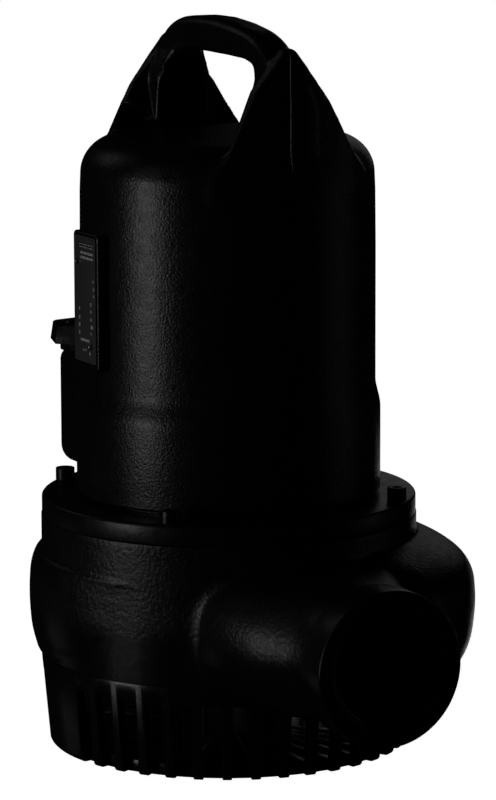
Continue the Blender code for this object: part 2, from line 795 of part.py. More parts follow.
def neck_section(x, half_y, half_z, middle, power):
    """Points of an upright rounded section across the discharge."""
    ring = []
    for step in range(NECK_POINTS):
        angle = 2 * math.pi * step / NECK_POINTS
        cosine, sine = math.cos(angle), math.sin(angle)
        y = math.copysign(abs(cosine) ** (2 / power), cosine) * half_y
        z = math.copysign(abs(sine) ** (2 / power), sine) * half_z
        ring.append((x, y, middle + z))
    return ring


def make_hub(tools):
    """The round end of the discharge, as a tool that is joined to the casing."""
    back = PORT_FACE - PORT_HUB
    profile = [
        (0.0, PORT_FACE),
        (PORT_RADIUS - PORT_ROUNDING, PORT_FACE),
        (PORT_RADIUS, PORT_FACE - PORT_ROUNDING),
        (PORT_RADIUS, back + HUB_BACK_CHAMFER_LENGTH),
        (PORT_RADIUS - HUB_BACK_CHAMFER, back),
        (0.0, back),
    ]
    hub = turned("hub", profile, tools, steps=PORT_ROUND)
    return place(hub, (0, 0, PORT_MID), (0, 90, 0))


def make_discharge_bore(tools):
    """Cutter for the threaded mouth and the straight bore behind it."""
    thread_start = PORT_FACE - THREAD_DEPTH
    profile = [
        (0.0, PORT_FACE + CUT),
        (THREAD_RADIUS + THREAD_CHAMFER + CUT, PORT_FACE + CUT),
        (THREAD_RADIUS, PORT_FACE - THREAD_CHAMFER),
        (THREAD_RADIUS, thread_start),
        (BORE_RADIUS, thread_start - THREAD_RUNOUT),
        (BORE_RADIUS, BORE_END),
        (0.0, BORE_END),
    ]
    bore = turned("discharge_bore", profile, tools, steps=PORT_ROUND)
    return place(bore, (0, 0, PORT_MID), (0, 90, 0))


def make_casing(pump, tools):
    """The volute casing: a ring with its spiral, the discharge neck and the water passage."""
    low, high = STRAINER_TOP + GAP, FLANGE_BOTTOM - GAP
    casing = cylinder("volute_casing", CASING_RADIUS, low, high, pump, steps=ROUND)
    combine(casing, spiral("spiral", volute_section, tools), "UNION", tools)
    neck = loft("neck", [neck_section(*station) for station in NECK_STATIONS], tools)
    combine(casing, neck, "UNION", tools)
    combine(casing, make_hub(tools), "UNION", tools)
    clearance = cylinder("strainer_clearance", STRAINER_RADIUS + GAP, 0.0, low, tools, steps=ROUND)
    combine(casing, clearance, "DIFFERENCE", tools)
    chamber = cylinder("chamber", CHAMBER_RADIUS, low - CUT, high + CUT, tools, steps=ROUND)
    combine(casing, chamber, "DIFFERENCE", tools)
    combine(casing, spiral("passage", passage_section, tools), "DIFFERENCE", tools)
    combine(casing, make_discharge_bore(tools), "DIFFERENCE", tools)
    inner = cylinder("inner_bore", INNER_BORE_RADIUS, INNER_BORE_START, INNER_BORE_END, tools)
    combine(casing, place(inner, (0, 0, INNER_BORE_MID), (0, 90, 0)), "DIFFERENCE", tools)
    hole = plain_hole(FLANGE_TOP - BOLT_DEPTH - CUT, high + CUT)
    return drill_bolt_circle(casing, hole, BOLT_CIRCLE, tools)


def make_suction_cover(pump, tools):
    """The disc with the suction eye that closes the casing from below."""
    low, high = STRAINER_TOP + GAP, COVER_TOP
    outer = CHAMBER_RADIUS - GAP
    ring = [(EYE_RADIUS, high), (outer, high), (outer, low), (EYE_RADIUS, low)]
    cover = turned("suction_cover", ring, pump, closed=True)
    return drill_bolt_circle(cover, plain_hole(low - CUT, STRAINER_SCREW_TIP + GAP), POST_CIRCLE, tools)


def vane_outline():
    """Outline of one swept vane seen from above."""
    inside, outside = [], []
    for step in range(VANE_STEPS + 1):
        along = step / VANE_STEPS
        radius = VANE_INNER_RADIUS + (VANE_OUTER_RADIUS - VANE_INNER_RADIUS) * along
        angle = math.radians(-VANE_SWEEP * along)
        half = VANE_THICKNESS / 2 / radius
        inside.append((radius * math.cos(angle - half), radius * math.sin(angle - half)))
        outside.append((radius * math.cos(angle + half), radius * math.sin(angle + half)))
    return inside + list(reversed(outside))


def make_impeller(pump, tools):
    """The open impeller: a disc with a hub and swept vanes under it."""
    profile = [
        (0.0, HUB_TOP),
        (HUB_RADIUS, HUB_TOP),
        (HUB_RADIUS, DISC_TOP),
        (IMPELLER_RADIUS, DISC_TOP),
        (IMPELLER_RADIUS, DISC_BOTTOM),
        (HUB_RADIUS, DISC_BOTTOM),
        (HUB_RADIUS, SHAFT_BOTTOM),
        (0.0, SHAFT_BOTTOM),
    ]
    impeller = turned("impeller", profile, pump, steps=PORT_ROUND)
    height = DISC_BOTTOM + VANE_SINK - VANE_BOTTOM
    for index in range(VANES):
        vane = slab("vane", vane_outline(), height, tools)
        place(vane, (0, 0, VANE_BOTTOM + height / 2), (0, 0, index * 360 / VANES))
        combine(impeller, vane, "UNION", tools)
    bore = cylinder("impeller_bore", SHAFT_RADIUS + GAP, SHAFT_BOTTOM - CUT, HUB_TOP + CUT, tools)
    return combine(impeller, bore, "DIFFERENCE", tools)


def make_shaft(pump):
    """The end of the motor shaft."""
    return cylinder("pump_shaft", SHAFT_RADIUS, SHAFT_BOTTOM, SHAFT_TOP, pump)


def make_impeller_screw(pump):
    """The hexagonal screw that holds the impeller on the shaft."""
    top = SHAFT_BOTTOM - GAP
    return cylinder("impeller_screw", NUT_RADIUS, top - NUT_DROP, top, pump, steps=6)


def slot_angles():
    """Angles of the strainer's slots, which miss the plain panel."""
    half_panel = SLOT_PITCH * PANEL_SLOTS / 2
    angles = [-180 + SLOT_PITCH * (index + 0.5) for index in range(360 // SLOT_PITCH)]
    return [angle for angle in angles if abs(angle - PANEL_MIDDLE) > half_panel]


def cut_slots(strainer, tools):
    """Cut the strainer's slots through its wall and the outer edge of its floor."""
    low = (-(SLOT_END - SLOT_START) / 2, -SLOT_WIDTH / 2, -SLOT_TOP / 2 - CUT)
    high = ((SLOT_END - SLOT_START) / 2, SLOT_WIDTH / 2, SLOT_TOP / 2)
    middle = (SLOT_END + SLOT_START) / 2
    for angle in slot_angles():
        slot = box("slot", low, high, tools)
        place(slot, polar(middle, angle, (SLOT_TOP - CUT) / 2), (0, 0, angle))
        combine(strainer, slot, "DIFFERENCE", tools)
    return strainer


def make_strainer(pump, tools):
    """The slotted basket that the pump stands on, with posts for its screws."""
    top = STRAINER_TOP
    profile = [
        (0.0, STRAINER_FLOOR),
        (STRAINER_BASE_RADIUS - STRAINER_WALL, STRAINER_FLOOR),
        (STRAINER_RADIUS - STRAINER_WALL, top),
        (STRAINER_RADIUS, top),
    ]
    profile += arc(STRAINER_BASE_RADIUS - STRAINER_EDGE, STRAINER_EDGE, STRAINER_EDGE, 0, -90, 2)
    profile.append((0.0, 0.0))
    strainer = turned("strainer", profile, pump)
    for angle in BOLT_ANGLES:
        post = cylinder("post", POST_RADIUS, STRAINER_FLOOR - POST_SINK, top, tools)
        combine(strainer, place(post, polar(POST_CIRCLE, angle, 0), (0, 0, angle)), "UNION", tools)
    seat = STRAINER_SCREW_SINK + STRAINER_SCREW_HEAD_HEIGHT + GAP
    stepped_hole = [
        (0.0, top + CUT),
        (BOLT_RADIUS + GAP, top + CUT),
        (BOLT_RADIUS + GAP, seat),
        (STRAINER_SCREW_HEAD + GAP, seat),
        (STRAINER_SCREW_HEAD + GAP, -CUT),
        (0.0, -CUT),
    ]
    drill_bolt_circle(strainer, stepped_hole, POST_CIRCLE, tools)
    return cut_slots(strainer, tools)


def make_strainer_screw(name, angle, pump, tools):
    """A screw from below, through a post of the strainer into the suction cover."""
    low = STRAINER_SCREW_SINK
    seat = low + STRAINER_SCREW_HEAD_HEIGHT
    profile = [
        (0.0, STRAINER_SCREW_TIP),
        (BOLT_RADIUS, STRAINER_SCREW_TIP),
        (BOLT_RADIUS, seat),
        (STRAINER_SCREW_HEAD, seat),
        (STRAINER_SCREW_HEAD, low),
        (0.0, low),
    ]
    screw = turned(name, profile, pump, steps=SCREW_ROUND)
    top = low + STRAINER_SCREW_SOCKET_DEPTH
    socket = cylinder("low_socket", CAP_SOCKET, low - CUT, top, tools, steps=6)
    combine(screw, socket, "DIFFERENCE", tools)
    return place(screw, polar(POST_CIRCLE, angle, 0), (0, 0, angle))


def make_origin(pump):
    """Hang every piece on one empty at the pump's origin."""
    pieces = list(pump.objects)
    origin = bpy.data.objects.new("pump_origin", None)
    pump.objects.link(origin)
    for piece in pieces:
        piece.parent = origin
    return origin


def build():
    """Make every piece of the pump."""
    clear_scene()
    pump, tools = make_collections()
    paint = make_materials()
    finish(make_housing(pump, tools), paint["rough_paint"])
    finish(make_handle(pump, tools), paint["smooth_paint"])
    finish(make_rating_plate(pump), paint["plate_metal"])
    finish(make_rivet("plate_rivet_upper", 1, pump), paint["rivet_metal"])
    finish(make_rivet("plate_rivet_lower", -1, pump), paint["rivet_metal"])
    finish(make_entry_box(pump, tools), paint["smooth_paint"])
    finish(make_entry_cover(pump), paint["smooth_paint"])
    for index, (side, up) in enumerate(COVER_SCREW_CORNERS, start=1):
        finish(make_cover_screw(f"cover_screw_{index}", side, up, pump), paint["dark_steel"])
    for name, side in (("power_cable_gland", -1), ("control_cable_gland", 1)):
        finish(make_gland(name, side, pump, tools), paint["dark_steel"])
        finish(make_gland_seal(name + "_seal", side, pump), paint["rubber"])
    finish(make_flange(pump, tools), paint["smooth_paint"])
    for index, angle in enumerate(BOLT_ANGLES, start=1):
        finish(make_flange_screw(f"flange_screw_{index}", angle, pump, tools), paint["dark_steel"])
        finish(make_strainer_screw(f"strainer_screw_{index}", angle, pump, tools), paint["dark_steel"])
    finish(make_casing(pump, tools), paint["rough_paint"])
    finish(make_suction_cover(pump, tools), paint["bare_iron"])
    finish(make_impeller(pump, tools), paint["bare_iron"])
    finish(make_shaft(pump), paint["dark_steel"])
    finish(make_impeller_screw(pump), paint["dark_steel"])
    finish(make_strainer(pump, tools), paint["smooth_paint"])
    make_origin(pump)


build()
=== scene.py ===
"""Looks of the submersible dirty water pump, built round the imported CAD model.

The housing with its handle and the volute casing are voxel meshes that are pulled onto
smooth distance fields, so that their joints have cast fillets. The other pieces are turned
bodies, boxes and what is cut from them. Everything is in metres, with +Z up, +X along the
discharge and the rating plate on the -Y side.
"""

import contextlib
import math

import bmesh
import bpy
import numpy as np
from mathutils import Matrix, Vector


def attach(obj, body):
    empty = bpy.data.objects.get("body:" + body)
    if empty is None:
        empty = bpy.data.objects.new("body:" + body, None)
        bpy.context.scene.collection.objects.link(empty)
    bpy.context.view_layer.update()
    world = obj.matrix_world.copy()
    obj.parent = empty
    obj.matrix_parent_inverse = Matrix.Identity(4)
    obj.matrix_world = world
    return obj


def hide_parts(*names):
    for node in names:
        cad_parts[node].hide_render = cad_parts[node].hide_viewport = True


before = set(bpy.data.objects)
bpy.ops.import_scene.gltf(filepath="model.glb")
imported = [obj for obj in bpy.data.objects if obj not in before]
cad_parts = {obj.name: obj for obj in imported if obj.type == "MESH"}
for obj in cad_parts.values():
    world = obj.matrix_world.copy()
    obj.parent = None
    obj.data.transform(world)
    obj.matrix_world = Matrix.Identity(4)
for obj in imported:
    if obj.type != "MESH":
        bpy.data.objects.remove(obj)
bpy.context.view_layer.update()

MM = 0.001
GAP = 0.3 * MM
SHARP = 0.01 * MM
FINE_EDGE = 0.5 * MM

# Sizes of the housing and its neighbours, as in the CAD model but for a softer step
STRAINER_TOP = 63 * MM
FLANGE_BOTTOM = 157.5 * MM
FLANGE_TOP = 171 * MM
HOUSING_RADIUS = 98.7 * MM
HOUSING_WALL_RADIUS = 99.5 * MM
HOUSING_WALL_TOP = 370 * MM
HOUSING_MID_RADIUS = 99.6 * MM
HOUSING_FOOT_RADIUS = 103 * MM
HOUSING_STEP_TOP = 249 * MM
HOUSING_STEP_BOTTOM = 229 * MM
HOUSING_LIP = 2.3 * MM
HOUSING_LIP_ROUNDING = 2 * MM
HOUSING_SEAT_RADIUS = 96 * MM
SHOULDER_RADIUS = 25 * MM
SHOULDER_CENTRE = 388 * MM
CROWN_RISE = 4.5 * MM
CASTING_CUT = 378 * MM
HOUSING_VOXEL = 1.3 * MM

# How often and how strongly a casting's mesh is smoothed while it is pulled onto its field
CAST_ROUNDS = 5
CAST_SMOOTHING = 0.6

# Lifting handle
BAR_ROUNDING = 7 * MM
BAR_START = 450 * MM
BAR_START_LENGTH = 15 * MM
HANDLE_FIELD_BOTTOM = 365 * MM
GUSSET_ROUNDING = 1.3 * MM
GUSSET_RIDGE_SOFTNESS = 1.2 * MM
HANDLE_FILLET = 6 * MM
GUSSET_FILLET = 2.5 * MM
ARCH_OUTER_MM = (
    (0, 491.6), (37, 489.6), (56, 486), (66, 482.2), (74, 477.6), (82, 471), (88.5, 463.5),
    (92.4, 455), (94.5, 443), (94.5, 420), (94.5, 380),
)
ARCH_INNER_MM = (
    (71, 380), (70, 392), (68, 430), (64.5, 447), (62, 456), (57.5, 462), (48, 465.3),
    (24, 467.2), (0, 467.7),
)
# Outlines of a gusset from its middle out: one wing is narrower than the other three
GUSSET_WIDE_MM = ((0, 477.5), (2.5, 477.5), (31, 441.8), (61.3, 392), (62, 380))
GUSSET_FAR_MM = ((0, 475.6), (2.5, 475.6), (31, 441.8), (61.3, 392), (62, 380))
GUSSET_NARROW_MM = (
    (0, 477.5), (2.5, 477.5), (24, 449.5), (32.6, 430.3), (41.7, 408.4), (50.5, 392), (52, 380),
)
GUSSET_SIDE_MM = (
    (60, 378), (60, 478.5), (84, 477.5), (92, 476.5), (95.5, 471.5), (95.5, 378), (60, 378),
)
# How far out the gussets' outer and inner faces lie, at a distance from the middle. One wing
# of the far gusset has a thicker inner side, which fades in below the given height
GUSSET_FACE_MM = ((0, 94.4), (12, 92.8), (26, 90), (38, 87.2), (50, 82.5), (62, 76), (74, 68))
GUSSET_BACK_MM = ((0, 82.2), (24, 81.7), (33, 82.9), (38, 82.6), (50, 79.5), (62, 72.7), (74, 64.7))
GUSSET_WEB_MM = ((0, 71), (20, 70.8), (50, 71.5), (62, 70), (74, 63))
GUSSET_WEB_TOP = 442 * MM
GUSSET_WEB_FADE = 30 * MM
# Half the width of a leg at a height, from its foot up, on the discharge side and on the other
LEG_NEAR_MM = ((380, 20), (438, 19.5), (446, 16.4), (452, 13.8), (457, 12.6), (464, 12))
LEG_FAR_MM = (
    (380, 20), (441, 19.8), (446, 19.6), (452, 17.4), (457, 15.4), (464, 12.6), (470, 12),
)
LEG_ROUNDING = 2.5 * MM
# The cast handle leans a little: how far its top lies above or below the drawn arch
HANDLE_LEAN_MM = (
    (-80, 2.8), (-71, 2.8), (-35, 1.0), (0, 0), (38, -1.7), (57, -1.7), (80, -1.2),
)
HANDLE_LEAN_FOOT = 425 * MM
HANDLE_LEAN_TOP = 455 * MM

# Rating plate, its pad and its rivets
PAD_X = 1 * MM
PAD_HALF_WIDTH = 19.8 * MM
PAD_FACE = 105.5 * MM
PAD_BOTTOM = 262 * MM
PAD_TOP = 353.5 * MM
PAD_ROUNDING = 2 * MM
PLATE_WIDTH = 34 * MM
PLATE_HEIGHT = 84 * MM
PLATE_THICKNESS = 0.6 * MM
PLATE_X = 1.8 * MM
PLATE_Z = 309 * MM
RIVET_RADIUS = 2.2 * MM
RIVET_HEIGHT = 1.1 * MM
RIVET_MIDDLE_X = 1 * MM
RIVET_MIDDLE_Z = 306 * MM
RIVET_X = 10.3 * MM
RIVET_Z = 27.5 * MM
# Section of a rivet's head with a hollow middle, in shares of its radius and height
RIVET_PROFILE = (
    (0.0, 0.75), (0.45, 0.8), (0.6, 1.0), (0.8, 0.93), (1.0, 0.45), (1.0, 0.0), (0.0, 0.0),
)

# Cable entry
BOX_REACH = 136 * MM
BOX_HALF_WIDTH = 66.9 * MM
BOX_BOTTOM = 173.6 * MM
BOX_TOP = 256 * MM
BOX_TOP_ROUNDING = 8.5 * MM
BOX_FOOT_ROUNDING = 14 * MM
BOX_EDGE = 1.5 * MM
BOX_ROOT = 60 * MM
COVER_THICKNESS = 5 * MM
COVER_MARGIN = 7 * MM
COVER_SCREW_INSET = 9 * MM
COVER_SCREW_RADIUS = 4.2 * MM
COVER_SCREW_HEIGHT = 3 * MM
COVER_SCREW_SOCKET = 2.3 * MM
GLAND_X = -114 * MM
GLAND_Y = 54 * MM
GLAND_TOP_CORNER = 24.8 * MM
GLAND_FOOT_CORNER = 27 * MM
GLAND_TURN = 43.5
GLAND_NUT_BOTTOM = 262 * MM
GLAND_NUT_TOP = 275 * MM
GLAND_NECK_RADIUS = 18 * MM
GLAND_BORE_RADIUS = 12.5 * MM
GLAND_FLOOR = 263 * MM
SEAL_BORE_RADIUS = 7 * MM

# Flange and screws
FLANGE_RADIUS = 127 * MM
FLANGE_ROUNDING = 2.5 * MM
SPIGOT_RADIUS = 111.2 * MM
SPIGOT_BOTTOM = 145.5 * MM
SHAFT_BORE_RADIUS = 12.3 * MM
SHAFT_BORE_TOP = 163.3 * MM
BOLT_CIRCLE = 119 * MM
BOLT_ANGLES = (-45, 45, 135, -135)
BOLT_RADIUS = 4 * MM
BOLT_DEPTH = 28 * MM
CAP_RADIUS = 6.5 * MM
CAP_HEIGHT = 8.5 * MM
SOCKET_RADIUS = 3.6 * MM

# Volute casing
CASING_RADIUS = 127.5 * MM
CASING_CUT = 152.5 * MM
CASING_VOXEL = 1.7 * MM
CHAMBER_RADIUS = 112 * MM
CASING_WALL = 9 * MM
RING_MIDDLE = 110 * MM
RING_HALF_HEIGHT = 50 * MM
SPIRAL_ANGLES = (-60, -359.9)
SLIM_ANGLE = -116.5
WIDE_ANGLE = -296.5
SLIM_REACH = 136.3 * MM
WIDE_REACH = 167.4 * MM
HIDDEN_START = -332
HIDDEN_LENGTH = 28
VOLUTE_ROOT = 112 * MM
SLIM_SECTION_MM = (
    (127, 134), (131, 131.8), (133.2, 127.5), (135, 121), (136, 111), (136.3, 100),
    (135.9, 89), (134.6, 77), (132.6, 69), (130.4, 63), (127, 60),
)
WIDE_SECTION_MM = (
    (127, 144.7), (140.5, 139), (151.5, 133.2), (160, 126.4), (165.2, 117.3), (166.8, 106),
    (166.4, 88), (163.5, 71), (157.5, 58.5), (148, 48), (127, 41),
)
RING_FILLET = 2 * MM
RING_FILLET_REACH = 12 * MM
NECK_FILLET = 3.5 * MM
PORT_MID = 95 * MM
PORT_FACE = 231 * MM
PORT_RADIUS = 51 * MM
PORT_CUT = 203 * MM
PORT_NECK_RADIUS = 46 * MM
PORT_ROUNDING = 1.6 * MM
PORT_STEPS = 192
HUB_BACK = 205.5 * MM
HUB_EDGE = 2 * MM
THREAD_ROOT = 37.6 * MM
THREAD_CREST = 36.1 * MM
THREAD_PITCH = 2.309 * MM
THREAD_DEPTH = 28 * MM
THREAD_CHAMFER = 2.4 * MM
THREAD_STEPS = 8
BORE_RADIUS = 32.5 * MM
BORE_END = 150 * MM
THROAT_RADIUS = 29.5 * MM
THROAT_MID = 104 * MM
THROAT_START = 98 * MM
THROAT_END = 158 * MM
PASSAGE_ANGLES = (-64, -352)
PASSAGE_ROOT = 104 * MM
PASSAGE_BOTTOM = 74 * MM
PASSAGE_TOP = 131 * MM
PASSAGE_CORNER = 20 * MM

# Strainer
STRAINER_RADIUS = 128.5 * MM
STRAINER_BASE_RADIUS = 123.3 * MM
STRAINER_EDGE = 3.5 * MM
STRAINER_WALL = 7 * MM
STRAINER_FLOOR = 8 * MM
SLOT_PITCH = 9
SLOT_WIDTH = 13 * MM
SLOT_TOP = 51 * MM
SLOT_START = 115.6 * MM
SLOT_END = 133.5 * MM
PANEL_MIDDLE = -94.5
PANEL_SLOTS = 3
POST_CIRCLE = 102 * MM
POST_RADIUS = 9 * MM
STRAINER_SCREW_SEAT = 6 * MM
STRAINER_SCREW_LENGTH = 62 * MM

# Bars and ruled lines of the rating plate: left, right, top and height
PLATE_MARKS_MM = (
    (-4.9, 15.6, 340.8, 1.6), (-4.9, 15.8, 337.6, 1.6),
    (14.2, 16.0, 323.3, 2.0), (15.2, 16.9, 318.1, 2.0), (15.2, 16.8, 313.4, 1.8),
    (10.4, 12.6, 307.7, 2.2), (10.4, 12.4, 302.9, 2.0), (10.4, 12.6, 297.6, 2.0),
    (11.2, 14.6, 292.8, 2.4), (10.4, 12.0, 288.0, 1.6),
    (-8.0, -6.2, 303.3, 2.2), (-8.0, -5.8, 297.6, 2.6), (-8.0, -5.8, 292.6, 2.6),
    (-8.0, -6.0, 287.5, 2.4), (-5.6, 8.7, 282.6, 1.8),
    (-1.2, 0.4, 275.8, 1.8), (2.1, 3.7, 276.2, 1.8), (8.4, 10.2, 274.6, 2.2),
    (-6.3, 15.8, 345.9, 0.4), (-6.3, 15.8, 344.0, 0.4),
)

# A pin of the casting mould has left a small round mark on the housing, which fades out
# between these radii
PIN_MARK = (0.0673, -0.0733, 0.2575)
PIN_RADII = (1.9 * MM, 0.9 * MM)

# Half widths of the gussets' seam at its foot and at its top
SEAM_HALF_WIDTHS = (1.1 * MM, 0.3 * MM)

# The volute's skin is coarse above this band of heights and smooth below it
COARSE_SKIN_BOTTOM = 84 * MM
COARSE_SKIN_TOP = 108 * MM

# Colours of the paint, clean and slightly dusty
PAINT_BLACK = (0.008, 0.008, 0.0085)
PAINT_WORN = (0.014, 0.014, 0.0145)

# Camera and stage
CAMERA_PLACE = (2.3123, -1.1380, 0.6773)
CAMERA_AIM = (-0.8819, 0.4397, -0.1700)
CAMERA_ROLL = -0.18
CAMERA_LENS = 173.75
CAMERA_SENSOR = 36.0
FLOOR_REACH = 60.0


def scaled(points):
    """Points that are given in millimetres, in metres."""
    return np.array(points, float) * MM


def linked(name, data):
    """A new object in the scene, for a mesh, a light or a camera."""
    thing = bpy.data.objects.new(name, data)
    bpy.context.scene.collection.objects.link(thing)
    return thing


def mesh_object(name, vertices, faces):
    """An object from lists of vertices and faces."""
    mesh = bpy.data.meshes.new(name)
    mesh.from_pydata([tuple(v) for v in vertices], [], [tuple(f) for f in faces])
    mesh.validate()
    return linked(name, mesh)


@contextlib.contextmanager
def editing(thing):
    """An object's mesh as a bmesh, which is written back at the end."""
    bm = bmesh.new()
    bm.from_mesh(thing.data)
    yield bm
    bm.to_mesh(thing.data)
    bm.free()


def face_outwards(bm):
    """Turn the normals of a closed mesh outwards."""
    bmesh.ops.recalc_face_normals(bm, faces=bm.faces)
    if bm.calc_volume(signed=True) < 0:
        bmesh.ops.reverse_faces(bm, faces=bm.faces)


def from_bmesh(name, bm):
    """An object from a bmesh, with its normals pointing out."""
    face_outwards(bm)
    mesh = bpy.data.meshes.new(name)
    bm.to_mesh(mesh)
    bm.free()
    return linked(name, mesh)


def merged(name, things):
    """One object from several, which are removed."""
    bm = bmesh.new()
    for thing in things:
        bm.from_mesh(thing.data)
        bpy.data.objects.remove(thing)
    return from_bmesh(name, bm)


def apply_modifiers(thing):
    """Replace an object's mesh by its evaluated mesh."""
    depsgraph = bpy.context.evaluated_depsgraph_get()
    mesh = bpy.data.meshes.new_from_object(thing.evaluated_get(depsgraph))
    old = thing.data
    thing.modifiers.clear()
    thing.data = mesh
    bpy.data.meshes.remove(old)
    return thing


def combine(thing, tool, operation):
    """Cut, join or intersect a piece with a tool, and remove the tool."""
    step = thing.modifiers.new("combine", "BOOLEAN")
    step.operation = operation
    step.solver = "MANIFOLD"
    step.object = tool
    apply_modifiers(thing)
    bpy.data.objects.remove(tool)
    return thing


def bevel(thing, width, segments, angle):
    """Round the edges of a piece that are sharper than an angle."""
    rounding = thing.modifiers.new("rounding", "BEVEL")
    rounding.width = width
    rounding.segments = segments
    rounding.limit_method = "ANGLE"
    rounding.angle_limit = math.radians(angle)
    return apply_modifiers(thing)


def smooth(thing, angle):
    """Smooth shading, with the creases sharper than an angle kept."""
    thing.data.shade_smooth()
    thing.data.set_sharp_from_angle(angle=math.radians(angle))
    return thing


def place(thing, location, rotation=(0, 0, 0)):
    """Put an object at a point and turn it by angles in degrees, in its mesh."""
    turn = [Matrix.Rotation(math.radians(angle), 4, axis) for angle, axis in zip(rotation, "XYZ")]
    thing.data.transform(Matrix.Translation(location) @ turn[2] @ turn[1] @ turn[0])
    return thing


def polar(radius, angle, height):
    """A point at a radius and an angle about the motor axis."""
    turn = math.radians(angle)
    return (radius * math.cos(turn), radius * math.sin(turn), height)


def arc(across, up, radius, start, end, count):
    """Points on an arc round a centre, from one angle to another."""
    points = []
    for step in range(count + 1):
        angle = math.radians(start + (end - start) * step / count)
        points.append((across + radius * math.cos(angle), up + radius * math.sin(angle)))
    return points


def turned(name, profile, steps=192, closed=False, start=0.0):
    """Turn a profile of (radius, height) points about the Z axis.

    An open profile starts and ends on the axis; a closed one is the section of a ring.
    """
    vertices, faces, rings = [], [], []
    for radius, height in profile:
        if radius < 1e-9:
            rings.append([len(vertices)] * steps)
            vertices.append((0.0, 0.0, height))
            continue
        rings.append(list(range(len(vertices), len(vertices) + steps)))
        for step in range(steps):
            vertices.append(polar(radius, start + 360 * step / steps, height))
    pairs = list(zip(rings, rings[1:]))
    if closed:
        pairs.append((rings[-1], rings[0]))
    for upper, lower in pairs:
        for step in range(steps):
            following = (step + 1) % steps
            face = [upper[step], lower[step], lower[following], upper[following]]
            corners = list(dict.fromkeys(face))
            if len(corners) > 2:
                faces.append(corners)
    return mesh_object(name, vertices, faces)


def cylinder(name, radius, low, high, steps):
    """A plain cylinder about the Z axis."""
    return turned(name, [(0.0, high), (radius, high), (radius, low), (0.0, low)], steps)


def box(name, low, high):
    """A box between two opposite corners."""
    bm = bmesh.new()
    bmesh.ops.create_cube(bm, size=1.0)
    bmesh.ops.scale(bm, verts=bm.verts, vec=[top - bottom for bottom, top in zip(low, high)])
    middle = [(bottom + top) / 2 for bottom, top in zip(low, high)]
    bmesh.ops.translate(bm, verts=bm.verts, vec=middle)
    return from_bmesh(name, bm)


def faced_box(name, low, high, axis, corner, edge):
    """A box whose four edges along an axis are rounded, and the rim of its lower end too.

    A corner and an edge are each a radius and a number of segments.
    """
    thing = box(name, low, high)
    with editing(thing) as bm:
        depth = high[axis] - low[axis]
        spans = [(e, abs(e.verts[0].co[axis] - e.verts[1].co[axis])) for e in bm.edges]
        corners = [e for e, span in spans if span > depth / 2]
        round_edges(bm, corners, *corner)
        rim = [e for e in bm.edges if all(v.co[axis] < low[axis] + 1e-6 for v in e.verts)]
        round_edges(bm, rim, *edge)
    return smooth(thing, 35)


def round_edges(bm, edges, radius, segments):
    """Round some edges of a bmesh."""
    bmesh.ops.bevel(bm, geom=edges, offset=radius, segments=segments, profile=0.5, affect="EDGES")


def lofted(name, sections):
    """A closed body through sections that have equally many points."""
    vertices = [point for section in sections for point in section]
    count = len(sections[0])
    faces = []
    for a in range(0, len(vertices) - count, count):
        for index in range(count):
            following = (index + 1) % count
            faces.append((a + index, a + following, a + count + following, a + count + index))
    faces.append(list(range(count))[::-1])
    faces.append(list(range(len(vertices) - count, len(vertices))))
    body = mesh_object(name, vertices, faces)
    with editing(body) as bm:
        face_outwards(bm)
    return body


def curve_through(points, steps):
    """Points on a smooth curve through given points, with tangents weighted by distance."""
    points = np.array(points, float)
    spans = np.maximum(np.linalg.norm(np.diff(points, axis=0), axis=1), 1e-9)
    slopes = np.diff(points, axis=0) / spans[:, None]
    tangents = np.empty_like(points)
    tangents[0], tangents[-1] = slopes[0], slopes[-1]
    before, after = spans[:-1, None], spans[1:, None]
    tangents[1:-1] = (slopes[:-1] * after + slopes[1:] * before) / (before + after)
    curve = []
    for index, span in enumerate(spans):
        for step in range(steps):
            t = step / steps
            curve.append(
                (2 * t**3 - 3 * t**2 + 1) * points[index]
                + (t**3 - 2 * t**2 + t) * span * tangents[index]
                + (3 * t**2 - 2 * t**3) * points[index + 1]
                + (t**3 - t**2) * span * tangents[index + 1]
            )
    curve.append(points[-1])
    return np.array(curve)


def outline_distance(corners, across, up):
    """Signed distance to an outline, negative inside it.

    A corner's coordinates are numbers, or arrays with a value for each point. Half an
    outline, from its mirror line and back to it, does for points on its own side.
    """
    nearest = np.full(len(across), np.inf)
    inside = np.zeros(len(across), bool)
    for (ax, ay), (bx, by) in zip(corners, corners[1:]):
        dx, dy = bx - ax, by - ay
        along = np.clip(((across - ax) * dx + (up - ay) * dy) / (dx * dx + dy * dy + 1e-18), 0, 1)
        nearest = np.minimum(nearest, (across - ax - along * dx) ** 2 + (up - ay - along * dy) ** 2)
        crosses = (ay > up) != (by > up)
        rise = np.where(np.abs(dy) < 1e-12, 1e-12, dy)
        inside ^= crosses & (across < ax + (up - ay) * dx / rise)
    return np.where(inside, -1.0, 1.0) * np.sqrt(nearest)


def blended(first, second, fillet):
    """Distance to the union of two bodies with a fillet between them."""
    fillet = np.maximum(fillet * 1.2, 1e-6)
    share = np.clip(0.5 + 0.5 * (second - first) / fillet, 0, 1)
    return second * (1 - share) + first * share - fillet * share * (1 - share)


def trimmed(first, second, rounding):
    """Distance to the intersection of two bodies with a rounded edge between them."""
    inner = np.minimum(np.maximum(first, second), -rounding)
    outer = np.hypot(np.maximum(first + rounding, 0), np.maximum(second + rounding, 0))
    return inner + outer


def coordinates(thing):
    """The vertices of an object as an array."""
    flat = np.empty(len(thing.data.vertices) * 3, np.float32)
    thing.data.vertices.foreach_get("co", flat)
    return flat.reshape(-1, 3).astype(float)


def set_coordinates(thing, points):
    """Write an array back to the vertices of an object."""
    thing.data.vertices.foreach_set("co", points.astype(np.float32).ravel())
    thing.data.update()


